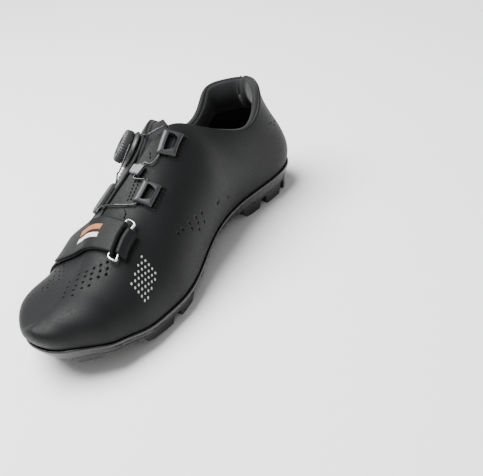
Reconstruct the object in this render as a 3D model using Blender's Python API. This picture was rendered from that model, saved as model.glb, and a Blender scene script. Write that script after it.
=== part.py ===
"""A low cycling shoe for trails, for the right foot, standing empty on its sole.

The toe points along +Y, the outer side of the foot lies along +X, and +Z is up.
Each side of the shoe is a row of arches from the edge of the sole to the top line.
"""
import math

import bmesh
import bpy
import numpy as np
from mathutils import Vector

LENGTH = 0.285
BALL_WIDTH = 0.098
HEIGHT = 0.100
WALL = 0.0022
FIT = 0.0003
TUCK = 0.0009
MARGIN = 0.009
TREAD_REACH = 0.014
LIP = 0.0016
LIP_WIDE = 0.0011
RAIL = 0.0012
INSOLE = 0.0040
TONGUE_WIDE = 0.046
TONGUE_THICK = 0.0052
TONGUE_RISE = 0.006
PAD_DEEP = 0.027
PAD_THICK = 0.0060
STRAP_THICK = 0.0016
STRAP_LIFT = 0.0011
RING_WIRE = 0.0022
RING_PLAY = 0.0006
LACE = 0.0012
DIAL_WIDE = 0.0270
DIAL_TALL = 0.0085
STATIONS = 40
ARCH_STEPS = 9
BOSS_ALONG = 0.836
BOSS_PITCH = 0.0372
BOSS_WIDE = 0.0170
BOSS_TALL = 0.0042
INSERT_WIDE = 0.0098
SLOT_END = 0.712
COLLAR_FRONT = 0.440

# along the foot from the heel, edge of the sole on the inner side, edge on the outer side
OUTLINE = (
    (0.0000, 0.000, 0.000),
    (0.0245, 0.200, 0.200),
    (0.0545, 0.278, 0.278),
    (0.0955, 0.318, 0.325),
    (0.1460, 0.318, 0.340),
    (0.2060, 0.290, 0.340),
    (0.2730, 0.254, 0.338),
    (0.3455, 0.243, 0.348),
    (0.4220, 0.285, 0.372),
    (0.5000, 0.368, 0.425),
    (0.5780, 0.458, 0.470),
    (0.6545, 0.512, 0.492),
    (0.7270, 0.514, 0.473),
    (0.7940, 0.481, 0.433),
    (0.8536, 0.425, 0.376),
    (0.9045, 0.352, 0.283),
    (0.9455, 0.268, 0.172),
    (0.9755, 0.195, 0.080),
    (0.9938, 0.132, 0.002),
    (1.0000, 0.070, -0.070),
)

# along, seat of the foot, top line inside, top line outside, middle of the top, opening
# to the inner side, opening to the outer side, forward set of the top line
TOP = (
    (0.0000, 0.200, 0.900, 0.900, 0.000, 0.000, 0.000, 0.042),
    (0.0245, 0.200, 0.898, 0.898, 0.000, 0.143, 0.143, 0.038),
    (0.0545, 0.198, 0.888, 0.886, 0.000, 0.225, 0.225, 0.031),
    (0.0955, 0.195, 0.845, 0.840, 0.000, 0.275, 0.275, 0.020),
    (0.1460, 0.191, 0.770, 0.760, 0.000, 0.297, 0.305, 0.010),
    (0.2060, 0.186, 0.730, 0.712, 0.000, 0.294, 0.312, 0.003),
    (0.2730, 0.177, 0.800, 0.775, 0.000, 0.262, 0.285, 0.000),
    (0.3455, 0.162, 0.925, 0.905, 0.000, 0.190, 0.210, 0.000),
    (0.4220, 0.149, 1.040, 1.030, -0.010, 0.095, 0.105, 0.000),
    (0.5000, 0.142, 0.980, 0.980, -0.018, 0.040, 0.040, 0.000),
    (0.5780, 0.137, 0.887, 0.887, -0.016, 0.026, 0.026, 0.000),
    (0.6545, 0.134, 0.784, 0.784, -0.020, 0.012, 0.012, 0.000),
    (0.7270, 0.137, 0.683, 0.683, -0.026, 0.000, 0.000, 0.000),
    (0.7940, 0.157, 0.608, 0.608, -0.040, 0.000, 0.000, 0.000),
    (0.8536, 0.186, 0.572, 0.572, -0.050, 0.000, 0.000, 0.000),
    (0.9045, 0.217, 0.538, 0.538, -0.060, 0.000, 0.000, 0.000),
    (0.9455, 0.240, 0.503, 0.503, -0.066, 0.000, 0.000, 0.000),
    (0.9755, 0.262, 0.460, 0.460, -0.071, 0.000, 0.000, 0.000),
    (0.9938, 0.278, 0.424, 0.424, -0.071, 0.000, 0.000, 0.000),
    (1.0000, 0.285, 0.380, 0.380, -0.070, 0.000, 0.000, 0.000),
)

# along, flare inside, flare outside, lean of the top inside, lean of the top outside,
# lower reach, upper reach inside, upper reach outside
BODY = (
    (0.0000, 20, 20, 100, 100, 0.33, 0.30, 0.30),
    (0.0545, 21, 21, 94, 94, 0.32, 0.30, 0.30),
    (0.1460, 12, 12, 82, 82, 0.30, 0.30, 0.30),
    (0.2060, 19, 13, 76, 76, 0.31, 0.31, 0.31),
    (0.2730, 28, 16, 64, 68, 0.32, 0.32, 0.32),
    (0.3455, 36, 15, 46, 54, 0.34, 0.34, 0.34),
    (0.4220, 33, 14, 26, 42, 0.36, 0.38, 0.36),
    (0.5000, 24, 13, 14, 35, 0.38, 0.40, 0.36),
    (0.5780, 16, 12, 5, 32, 0.38, 0.42, 0.36),
    (0.6545, 13, 12, -6, 29, 0.38, 0.42, 0.38),
    (0.7270, 11, 11, -20, 20, 0.40, 0.44, 0.42),
    (0.7940, 10, 10, -17, 17, 0.41, 0.48, 0.46),
    (0.8536, 9, 9, -14, 14, 0.42, 0.52, 0.50),
    (0.9455, 7, 7, -11, 11, 0.44, 0.56, 0.55),
    (0.9800, 7, 7, -4, 4, 0.44, 0.56, 0.56),
    (1.0000, 7, 7, 0, 0, 0.44, 0.56, 0.56),
)

# along, underside of the plate, depth of the centre rib, floor line
SOLE = (
    (0.000, 0.112, 0.000, 0.030),
    (0.040, 0.112, 0.000, 0.006),
    (0.080, 0.110, 0.000, 0.000),
    (0.200, 0.098, 0.000, 0.000),
    (0.270, 0.095, 0.012, 0.000),
    (0.345, 0.091, 0.025, 0.000),
    (0.430, 0.084, 0.018, 0.000),
    (0.460, 0.080, 0.000, 0.000),
    (0.700, 0.080, 0.000, 0.000),
    (0.745, 0.082, 0.000, 0.012),
    (0.790, 0.100, 0.000, 0.036),
    (0.850, 0.129, 0.000, 0.070),
    (0.900, 0.157, 0.000, 0.107),
    (0.950, 0.190, 0.000, 0.152),
    (1.000, 0.229, 0.000, 0.200),
)

# along, reach of the block to the floor, width of the strip
FORE_TREAD = (
    (0.4950, 0.00, 0.070),
    (0.5160, 0.00, 0.080),
    (0.5200, 0.45, 0.080),
    (0.5360, 0.45, 0.085),
    (0.5400, 0.00, 0.090),
    (0.6020, 0.00, 0.120),
    (0.6120, 1.00, 0.150),
    (0.6680, 1.00, 0.155),
    (0.6760, 0.00, 0.130),
    (0.6970, 0.00, 0.130),
    (0.7050, 1.00, 0.165),
    (0.7930, 1.00, 0.165),
    (0.8060, 0.00, 0.080),
    (0.8880, 0.00, 0.080),
    (0.8990, 1.00, 0.120),
    (0.9500, 1.00, 0.118),
    (0.9700, 0.10, 0.090),
)
HEEL_TREAD = (
    (0.0060, 0.25, 0.090),
    (0.0140, 1.00, 0.110),
    (0.0800, 1.00, 0.150),
    (0.0880, 0.00, 0.130),
    (0.1050, 0.00, 0.130),
    (0.1130, 1.00, 0.150),
    (0.1700, 1.00, 0.150),
    (0.1780, 0.00, 0.120),
    (0.1950, 0.00, 0.115),
    (0.2030, 1.00, 0.135),
    (0.2500, 1.00, 0.120),
    (0.2650, 0.00, 0.080),
)


def station(along):
    """Even steps of this value crowd toward the heel and the toe."""
    return math.acos(1 - 2 * min(max(along, 0), 1)) / math.pi


def along_at(t):
    return (1 - math.cos(math.pi * t)) / 2


def curve(rows, column):
    """A cubic of even curvature through one column of a table."""
    x = np.array([station(row[0]) for row in rows])
    y = np.array([row[column] for row in rows], float)
    count = len(x)
    step = np.diff(x)
    left = np.eye(count)
    right = np.zeros(count)
    for i in range(1, count - 1):
        left[i, i - 1] = step[i - 1]
        left[i, i] = 2 * (step[i - 1] + step[i])
        left[i, i + 1] = step[i]
        right[i] = 6 * ((y[i + 1] - y[i]) / step[i] - (y[i] - y[i - 1]) / step[i - 1])
    bend = np.linalg.solve(left, right)

    def value(t):
        i = int(min(max(np.searchsorted(x, t) - 1, 0), count - 2))
        h = step[i]
        a = (x[i + 1] - t) / h
        b = (t - x[i]) / h
        cubic = ((a**3 - a) * bend[i] + (b**3 - b) * bend[i + 1]) * h * h / 6
        return float(a * y[i] + b * y[i + 1] + cubic)

    return value


def level_curve(rows, column):
    """A curve through one column of a table that never swings past its values."""
    x = [station(row[0]) for row in rows]
    y = [row[column] for row in rows]
    rate = [(y[i + 1] - y[i]) / (x[i + 1] - x[i]) for i in range(len(x) - 1)]
    slope = [rate[0]]
    for before, after in zip(rate, rate[1:]):
        even = before * after > 0
        slope.append(2 * before * after / (before + after) if even else 0.0)
    slope.append(rate[-1])

    def value(t):
        i = int(min(max(np.searchsorted(x, t) - 1, 0), len(x) - 2))
        h = x[i + 1] - x[i]
        s = (t - x[i]) / h
        start = (1 + 2 * s) * (1 - s) ** 2 * y[i] + s * (1 - s) ** 2 * h * slope[i]
        end = s * s * (3 - 2 * s) * y[i + 1] + s * s * (s - 1) * h * slope[i + 1]
        return start + end

    return value


EDGE = {-1: curve(OUTLINE, 1), 1: curve(OUTLINE, 2)}
SEAT = curve(TOP, 1)
TOP_LINE = {-1: curve(TOP, 2), 1: curve(TOP, 3)}
MIDDLE = curve(TOP, 4)
OPENING = {-1: curve(TOP, 5), 1: curve(TOP, 6)}
SET = curve(TOP, 7)
FLARE = {-1: curve(BODY, 1), 1: curve(BODY, 2)}
LEAN = {-1: curve(BODY, 3), 1: curve(BODY, 4)}
LOW_REACH = curve(BODY, 5)
HIGH_REACH = {-1: curve(BODY, 6), 1: curve(BODY, 7)}
UNDER = level_curve(SOLE, 1)
RIB = level_curve(SOLE, 2)
FLOOR = level_curve(SOLE, 3)
UP = np.array([0.0, 0.0, 1.0])


def unit(v):
    return v / np.linalg.norm(v)


def seat_height(t):
    return SEAT(t) * HEIGHT


def edge_point(side, t):
    """The edge of the sole's top face, where the upper meets it."""
    return np.array([side * EDGE[side](t) * BALL_WIDTH, along_at(t) * LENGTH, seat_height(t)])


def outward(side, t):
    """Level direction straight out of the sole's outline."""
    if t <= 0:
        return np.array([0.0, -1.0, 0.0])
    if t >= 1:
        return np.array([0.0, 1.0, 0.0])
    near = edge_point(side, max(t - 0.002, 0))
    far = edge_point(side, min(t + 0.002, 1))
    run = far - near
    return unit(np.array([run[1], -run[0], 0.0])) * side


def sideways(side, t):
    """The way an arch leaves the top line: outward at the heel, then level across the
    throat, then turning down the nose of the toe."""
    out = outward(side, t)
    turn = min(max((t - 0.42) / 0.12, 0), 1)
    if turn == 0:
        return out
    near = top_point(side, max(t - 0.002, 0))
    far = top_point(side, min(t + 0.002, 1))
    nose = unit((far - near) * np.array([0.0, 1.0, 1.0]))
    ahead = np.array([out[0], 0.0, 0.0]) + nose * max(out[1], 0)
    return unit(out * (1 - turn) + unit(ahead) * turn)


def slot_share(t):
    """1 along the throat, falling to 0 at the front end of its slot."""
    return min(max((station(SLOT_END) - t) / 0.04, 0), 1)


def top_point(side, t):
    """The top line: the collar, the edge of the throat slot, then the ridge of the toe."""
    closed = t >= station(SLOT_END) - 1e-9
    opening = max(OPENING[side](t), 0.010) * slot_share(t)
    if t <= 0:
        opening = 0
    height = TOP_LINE[side](t)
    if closed:
        height = TOP_LINE[-1](t)
    x = (MIDDLE(t) + side * opening) * BALL_WIDTH
    return np.array([x, (along_at(t) + SET(t)) * LENGTH, height * HEIGHT])


def lean_at(side, t):
    """How steeply the arch falls from the top line; ahead of the slot the sides run through."""
    through = side * (LEAN[1](t) - LEAN[-1](t)) / 2
    return LEAN[side](t) * slot_share(t) + through * (1 - slot_share(t))


def skin(side, t, v):
    """A point of the upper's outer face: v runs from the sole's edge to the top line."""
    low = edge_point(side, t) + UP * FIT
    high = top_point(side, t)
    span = np.linalg.norm(high - low)
    flare = math.radians(FLARE[side](t))
    lean = math.radians(lean_at(side, t))
    rise = math.cos(flare) * UP + math.sin(flare) * outward(side, t)
    fall = math.cos(lean) * sideways(side, t) - math.sin(lean) * UP
    a = low + rise * span * LOW_REACH(t)
    b = high + fall * span * HIGH_REACH[side](t)
    w = 1 - v
    return w**3 * low + 3 * w * w * v * a + 3 * w * v * v * b + v**3 * high


def raw_normal(side, t, v):
    e = 0.002
    run = skin(side, min(t + e, 1), v) - skin(side, max(t - e, 0), v)
    rise = skin(side, t, min(v + e, 1)) - skin(side, t, max(v - e, 0))
    return unit(np.cross(run, rise) * side)


def normal(side, t, v):
    """Straight out of the upper's outer face, shared where the two sides join."""
    on_ridge = v >= 1 and t >= station(SLOT_END) - 1e-9
    if t >= 1:
        v = min(v, 0.95)
    if t <= 0 or t >= 1 or on_ridge:
        return unit(raw_normal(-1, t, v) + raw_normal(1, t, v))
    return raw_normal(side, t, v)


def over(side, t, v, lift):
    """A point at a set distance off the upper's outer face."""
    return skin(side, t, v) + normal(side, t, v) * lift


def inset(side, t, distance, height):
    """A point inside the sole's outline by a set distance, at a set height."""
    p = edge_point(side, t) - outward(side, t) * distance
    p[2] = height
    return p


def room(t):
    """How much of a full inset fits at one station: less at the narrow tip of the toe."""
    return min(1, 0.35 + 0.65 * (1 - t) / 0.13)


def arch_share(side, t, distance):
    """The share v whose point lies a set distance down the arch from the top line."""
    spans = [skin(side, t, 1 - k / 24) for k in range(25)]
    total = 0.0
    for k in range(24):
        piece = float(np.linalg.norm(spans[k + 1] - spans[k]))
        if total + piece >= distance:
            return 1 - (k + (distance - total) / piece) / 24
        total += piece
    return 0.0


def material(name, color, roughness, metallic=0.0):
    made = bpy.data.materials.new(name)
    made.use_nodes = True
    shader = made.node_tree.nodes["Principled BSDF"]
    shader.inputs["Base Color"].default_value = (*color, 1.0)
    shader.inputs["Roughness"].default_value = roughness
    shader.inputs["Metallic"].default_value = metallic
    made.diffuse_color = (*color, 1.0)
    return made


def solid(name, points, faces, finish, smooth=True):
    """One closed body from points and faces, with its face directions made to agree."""
    mesh = bpy.data.meshes.new(name)
    mesh.from_pydata([tuple(p) for p in points], [], faces)
    mesh.validate()
    bm = bmesh.new()
    bm.from_mesh(mesh)
    bmesh.ops.remove_doubles(bm, verts=bm.verts, dist=0.000005)
    bmesh.ops.dissolve_degenerate(bm, edges=bm.edges, dist=0.000002)
    bmesh.ops.triangulate(bm, faces=bm.faces)
    bmesh.ops.recalc_face_normals(bm, faces=bm.faces)
    for face in bm.faces:
        face.smooth = smooth
    bm.to_mesh(mesh)
    bm.free()
    obj = bpy.data.objects.new(name, mesh)
    obj.data.materials.append(finish)
    bpy.context.collection.objects.link(obj)
    return obj


def loft(name, rings, finish, smooth=True):
    """A body swept through closed rings, with a flat end on the first and last."""
    count = len(rings[0])
    points = [p for ring in rings for p in ring]
    faces = []
    for i in range(len(rings) - 1):
        for j in range(count):
            k = (j + 1) % count
            low = i * count
            high = low + count
            faces.append((low + j, low + k, high + k, high + j))
    ends = (rings[0], rings[-1])
    for end, start in zip(ends, (0, (len(rings) - 1) * count)):
        middle = sum(end) / count
        far = max(np.linalg.norm(p - middle) for p in end)
        spread = np.linalg.norm(np.cross(end[1] - end[0], end[count // 2] - end[0]))
        if far > 1e-5 and spread > 1e-9:
            faces.append(tuple(range(start, start + count)))
    return solid(name, points, faces, finish, smooth)


def plate(name, us, vs, place, finish, hole=None, smooth=True):
    """A sheet of two layers over a grid, walled at its rim and around its holes."""
    rows = len(us)
    cols = len(vs)
    points = [place(u, v, layer) for layer in (0, 1) for u in us for v in vs]

    def number(i, j, layer):
        return layer * rows * cols + i * cols + j

    def present(i, j):
        if not (0 <= i < rows - 1 and 0 <= j < cols - 1):
            return False
        return hole is None or not hole(i, j)

    faces = []
    for i in range(rows - 1):
        for j in range(cols - 1):
            if not present(i, j):
                continue
            for layer in (0, 1):
                faces.append(tuple(
                    number(a, b, layer)
                    for a, b in ((i, j), (i + 1, j), (i + 1, j + 1), (i, j + 1))
                ))
            walls = (
                ((i - 1, j), (i, j), (i, j + 1)),
                ((i + 1, j), (i + 1, j), (i + 1, j + 1)),
                ((i, j - 1), (i, j), (i + 1, j)),
                ((i, j + 1), (i, j + 1), (i + 1, j + 1)),
            )
            for beyond, p, q in walls:
                if not present(*beyond):
                    faces.append((number(*p, 0), number(*q, 0), number(*q, 1), number(*p, 1)))
    used = sorted({k for face in faces for k in face})
    new = {k: n for n, k in enumerate(used)}
    faces = [tuple(new[k] for k in face) for face in faces]
    return solid(name, [points[k] for k in used], faces, finish, smooth)


def turned(name, profile, origin, axis, finish, sides=32, waves=0, wave=0.0, smooth=True):
    """A body turned about an axis; some of its outer radii may swell in waves."""
    axis = unit(np.array(axis, float))
    across = unit(np.cross(axis, [0.0, 1.0, 0.1]))
    along = np.cross(axis, across)
    points = []
    for radius, rise in profile:
        for k in range(sides):
            angle = 2 * math.pi * k / sides
            r = radius
            if waves and radius > 0.9 * DIAL_WIDE / 2:
                r += wave * math.cos(waves * angle)
            out = across * math.cos(angle) + along * math.sin(angle)
            points.append(np.array(origin) + axis * rise + out * r)
    faces = []
    for i in range(len(profile) - 1):
        for k in range(sides):
            n = (k + 1) % sides
            faces.append((i * sides + k, i * sides + n, (i + 1) * sides + n, (i + 1) * sides + k))
    if profile[0][0] > 0 and profile[0] != profile[-1]:
        faces.append(tuple(range(sides)))
        last = (len(profile) - 1) * sides
        faces.append(tuple(range(last, last + sides)))
    return solid(name, points, faces, finish, smooth)


def tube(name, path, diameter, finish, cyclic=False):
    """A round cord along a path of points."""
    shape = bpy.data.curves.new(name, "CURVE")
    shape.dimensions = "3D"
    shape.bevel_depth = diameter / 2
    shape.bevel_resolution = 1
    shape.use_fill_caps = not cyclic
    line = shape.splines.new("POLY")
    line.points.add(len(path) - 1)
    for point, p in zip(line.points, path):
        point.co = (*p, 1.0)
    line.use_cyclic_u = cyclic
    obj = bpy.data.objects.new(name, shape)
    obj.data.materials.append(finish)
    bpy.context.collection.objects.link(obj)
    return obj


for old in list(bpy.data.objects):
    bpy.data.objects.remove(old)

NYLON = material("glass_filled_nylon", (0.012, 0.012, 0.013), 0.35)
RUBBER = material("black_tread_rubber", (0.016, 0.016, 0.017), 0.62)
MICROFIBRE = material("black_microfibre", (0.030, 0.031, 0.032), 0.72)
MESH = material("charcoal_lining_mesh", (0.045, 0.047, 0.050), 0.95)
FOAM = material("insole_fabric", (0.020, 0.020, 0.021), 0.95)
MOULDED = material("dark_moulded_plastic", (0.035, 0.036, 0.038), 0.45)
PALE = material("grey_moulded_plastic", (0.180, 0.185, 0.190), 0.40)
STEEL = material("polished_steel", (0.600, 0.600, 0.600), 0.20, 1.0)
BRASS = material("brass_insert", (0.450, 0.300, 0.120), 0.35, 1.0)
CORD = material("coated_lace_cord", (0.020, 0.020, 0.020), 0.40)

TS = sorted({round(k / STATIONS, 6) for k in range(STATIONS + 1)} | {station(SLOT_END)})


# the upper: outer face, wall, and a margin turned in under the foot
def upper():
    slot = TS.index(station(SLOT_END))
    points = []
    faces = []
    count = 2 * (ARCH_STEPS + 1) + 2
    for side in (-1, 1):
        for t in TS:
            base = seat_height(t) + FIT
            arch = [skin(side, t, k / ARCH_STEPS) for k in range(ARCH_STEPS + 1)]
            inner = [over(side, t, k / ARCH_STEPS, -WALL) for k in range(ARCH_STEPS + 1)]
            inner[0] = inset(side, t, WALL, base + WALL)
            points += arch + inner[::-1]
            turned_in = WALL + MARGIN * room(t)
            points.append(inset(side, t, turned_in, base + WALL))
            points.append(inset(side, t, turned_in, base))
    for half in (0, 1):
        for i in range(len(TS) - 1):
            low = (half * len(TS) + i) * count
            high = low + count
            for j in range(count):
                if j == ARCH_STEPS and i >= slot:
                    continue
                k = (j + 1) % count
                faces.append((low + j, low + k, high + k, high + j))
    return solid("upper", points, faces, MICROFIBRE)


# the sole's plate: a thin lip round the upper, a stepped side, a flat underside
def under(t, rib=0.0):
    return (UNDER(t) - rib) * HEIGHT


def outsole():
    rings = []
    for t in TS:
        ring = []
        base = seat_height(t)
        for side in (-1, 1):
            lean = math.tan(math.radians(FLARE[side](t)))
            lip = FIT + 0.0001 + LIP * lean
            low = under(t)
            half = [
                inset(side, t, -FIT, base),
                inset(side, t, -lip, base + LIP),
                inset(side, t, -lip - LIP_WIDE, base + LIP - FIT),
                inset(side, t, -lip - LIP_WIDE - 0.0002, base - 0.0012),
                inset(side, t, 0.0, base - 0.0022),
                inset(side, t, 0.0008, low + 0.0008),
                inset(side, t, 0.0018, low),
            ]
            rib = under(t, RIB(t))
            far = inset(side, t, TREAD_REACH * room(t), low)
            for share, height in ((0.0, low), (0.45, low), (0.60, rib)):
                p = far * (1 - share) + inset_middle(t, low) * share
                p[2] = height
                half.append(p)
            ring += half if side < 0 else half[::-1]
        rings.append(ring)
    return loft("outsole", rings, NYLON)


def inset_middle(t, height):
    """Halfway across the sole at one station."""
    reach = TREAD_REACH * room(t)
    return (inset(-1, t, reach, height) + inset(1, t, reach, height)) / 2


def spread_rows(rows, gap=0.02):
    """The rows of a table with more rows between those far apart."""
    out = []
    for a, b in zip(rows, rows[1:]):
        pieces = max(1, math.ceil((b[0] - a[0]) / gap))
        for k in range(pieces):
            out.append(tuple(a[n] + (b[n] - a[n]) * k / pieces for n in range(len(a))))
    out.append(rows[-1])
    return out


def tread(name, side, rows):
    """A strip along the sole's edge with blocks that reach the floor."""
    rings = []
    for along, reach, wide in spread_rows(rows):
        t = station(along)
        top = under(t) - FIT
        rail = top - RAIL
        floor = FLOOR(t) * HEIGHT
        low = rail + (floor - rail) * reach
        draft = 0.0016 * reach
        far = 0.0018 + wide * BALL_WIDTH
        rings.append([
            inset(side, t, 0.0018, top),
            inset(side, t, far, top),
            inset(side, t, far - draft, low),
            inset(side, t, 0.0018 + draft, low),
        ])
    return loft(name, rings, RUBBER, smooth=False)


def underside_at(side, x, y):
    """Height of the sole's underside at a place in plan, on one side of its middle."""
    line = []
    for k in range(80):
        t = 0.5 + 0.45 * k / 79
        far = inset(side, t, TREAD_REACH * room(t), under(t))
        middle = inset_middle(t, under(t))
        share = (x - middle[0]) / (far[0] - middle[0])
        p = middle * (1 - share) + far * share
        line.append((p[1], p[2]))
    return float(np.interp(y, [p[0] for p in line], [p[1] for p in line]))


def toe_boss(name, side):
    """A raised round seat for a screw-in stud, with its threaded insert."""
    y = BOSS_ALONG * LENGTH
    x = MIDDLE(station(BOSS_ALONG)) * BALL_WIDTH + side * BOSS_PITCH / 2
    reach = BOSS_WIDE / 2
    ahead = underside_at(side, x, y + reach)
    behind = underside_at(side, x, y - reach)
    axis = unit(np.array([0.0, (ahead - behind) / BOSS_WIDE, -1.0]))
    start = np.array([x, y, underside_at(side, x, y)]) + axis * (FIT + 0.0002)
    bore = INSERT_WIDE / 2 + FIT + 0.0001
    ring = [
        (0.0, 0.0), (reach, 0.0), (reach - 0.0007, BOSS_TALL), (bore, BOSS_TALL),
        (bore, 0.0016), (0.0, 0.0016),
    ]
    turned(name + "_boss", ring, start, axis, RUBBER, 28, smooth=False)
    rim = INSERT_WIDE / 2
    stud = [
        (0.0, 0.0019), (rim, 0.0019), (rim, BOSS_TALL + 0.0004),
        (rim - 0.0019, BOSS_TALL + 0.0004), (rim - 0.0019, 0.0032), (0.0, 0.0032),
    ]
    turned(name + "_insert", stud, start, axis, BRASS, 24, smooth=False)


# the cleat plate: a long hexagon with two slots, on the flat of the sole
CLEAT_BACK = 0.478
CLEAT_FRONT = 0.800
CLEAT_WIDE = 0.042
CLEAT_THICK = 0.0020
SLOT_PITCH = 0.0140
SLOT_WIDE = 0.0058
SLOT_LONG = 0.0280
SLOT_MIDDLE = 0.640


def cleat_middle(along):
    return MIDDLE(station(along)) * BALL_WIDTH


def cleat_plate():
    half = CLEAT_WIDE / 2
    xs = [-half, -half * 0.75]
    for side in (-1, 1):
        xs += [side * SLOT_PITCH / 2 - SLOT_WIDE / 2, side * SLOT_PITCH / 2 + SLOT_WIDE / 2]
    xs += [half * 0.75, half]
    start = SLOT_MIDDLE - SLOT_LONG / LENGTH / 2
    end = SLOT_MIDDLE + SLOT_LONG / LENGTH / 2
    us = [CLEAT_BACK, 0.500, 0.530, 0.560, 0.590, start, start + 0.006, SLOT_MIDDLE]
    us += [end - 0.006, end, 0.710, 0.735, 0.760, 0.780, CLEAT_FRONT]

    def place(u, x, layer):
        taper = 1.0
        if u < 0.545:
            taper = 0.25 + 0.75 * (u - CLEAT_BACK) / (0.545 - CLEAT_BACK)
        if u > 0.715:
            taper = 0.25 + 0.75 * (CLEAT_FRONT - u) / (CLEAT_FRONT - 0.715)
        if start - 0.001 < u < end + 0.001:
            round_end = min(u - start, end - u) < 0.001
            for side in (-1, 1):
                centre = side * SLOT_PITCH / 2
                if round_end and abs(x - centre) < SLOT_WIDE * 0.6:
                    x = centre + (x - centre) * 0.45
        z = under(station(u)) - FIT * (1 if u < 0.71 else 2.5) - (0 if layer else CLEAT_THICK)
        return np.array([cleat_middle(SLOT_MIDDLE) + x * taper, u * LENGTH, z])

    def hole(i, j):
        return 5 <= i <= 8 and j in (2, 4)

    return plate("cleat_plate", us, xs, place, NYLON, hole, smooth=False)


def cleat_nuts():
    """Two threaded rounds in each slot, fixed in the slot between its long sides."""
    z = under(station(SLOT_MIDDLE)) - FIT
    for side, across in ((-1, "inner"), (1, "outer")):
        for shift, along in ((-1, "rear"), (1, "front")):
            x = cleat_middle(SLOT_MIDDLE) + side * SLOT_PITCH / 2
            y = SLOT_MIDDLE * LENGTH + shift * 0.0060
            ring = [
                (0.0026, 0.0), (0.0026, 0.0014), (0.0017, 0.0014), (0.0017, 0.0),
                (0.0026, 0.0),
            ]
            name = f"cleat_nut_{across}_{along}"
            turned(name, ring, (x, y, z), (0, 0, -1), STEEL, 20, smooth=False)


# the insole: rests on the turned-in margin and fills the space between its edges
def insole():
    rings = []
    for t in TS:
        base = seat_height(t) + FIT
        high = base + WALL + FIT
        ring = []
        for side in (-1, 1):
            half = [
                inset(side, t, WALL + MARGIN * room(t) + FIT * 2, base),
                inset(side, t, WALL + MARGIN * room(t) + FIT * 2, high),
                inset(side, t, WALL + 0.0014, high),
                inset(side, t, WALL + 0.0010, high + INSOLE * 0.55),
                inset(side, t, WALL + 0.0022, high + INSOLE),
                inset(side, t, WALL + MARGIN * room(t), high + INSOLE * 0.85),
            ]
            ring += half if side < 0 else half[::-1]
        rings.append(ring)
    return loft("insole", rings, FOAM)


# the tongue: a padded sheet under both edges of the throat, proud of the collar's front
def face_at(along, reach, lift):
    """A point off the upper, and off the gap of the throat, by distance from its middle."""
    t = station(along)
    tops = [over(s, t, 1.0, lift) for s in (-1, 1)]
    gap = float(np.linalg.norm(top_point(1, t) - top_point(-1, t))) / 2
    if abs(reach) <= gap + 1e-9:
        share = (reach / (gap + 1e-9) + 1) / 2
        return tops[0] * (1 - share) + tops[1] * share
    side = -1 if reach < 0 else 1
    return over(side, t, arch_share(side, t, abs(reach) - gap), lift)


def tongue_face(along, w, lift):
    reach = w * TONGUE_WIDE / 2
    p = face_at(along, reach, lift)
    if along < COLLAR_FRONT:
        t = station(along)
        gap = float(np.linalg.norm(top_point(1, t) - top_point(-1, t))) / 2
        back = unit((top_point(-1, t) - top_point(-1, station(along + 0.04))) * (0, 1, 1))
        free = max(0, 1 - abs(reach) / gap)
        p = p + (back + UP) * (COLLAR_FRONT - along) * LENGTH * free * 0.5
    return p


def tongue():
    back = COLLAR_FRONT - TONGUE_RISE / LENGTH
    us = [back, COLLAR_FRONT, 0.46, 0.49, 0.52, 0.56, 0.60, 0.64, 0.675, 0.71]
    vs = [-1, -0.85, -0.65, -0.45, -0.28, -0.14, 0, 0.14, 0.28, 0.45, 0.65, 0.85, 1]

    def place(u, w, layer):
        thin = 1 - 0.65 * abs(w) ** 3
        if u <= back + 1e-6:
            thin *= 0.55
        lift = -WALL - TUCK - (0 if layer else TONGUE_THICK * thin)
        return tongue_face(u, w, lift)

    return plate("tongue", us, vs, place, MESH)


# the collar pad: a cushion round the heel, against the inside of the upper
def collar_pad():
    turn = [station(0.395) * k / 12 for k in range(12, 0, -1)]
    us = [-t for t in turn] + [0.0] + turn[::-1]
    vs = [0.0, 0.12, 0.3, 0.5, 0.7, 0.88, 1.0]

    def place(u, v, layer):
        side = -1 if u < 0 else 1
        t = abs(u)
        ends = min(1, (station(0.395) - t) / 0.05 + 0.25)
        swell = 0.25 + 0.75 * math.sin(math.pi * min(v * 0.9 + 0.12, 1)) ** 0.8
        thick = PAD_THICK * swell * ends
        share = arch_share(side, t, 0.0004 + v * PAD_DEEP)
        lift = -WALL - FIT * 2 - (0 if layer else thick)
        return over(side, t, share, lift)

    return plate("collar_pad", us, vs, place, MESH)


# the forefoot strap: from the outer side over the foot, through the ring and back on itself
STRAP_BACK = 0.692
STRAP_FRONT = 0.766
RING_AT = 0.0235
RING_GAP = 0.0080


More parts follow.
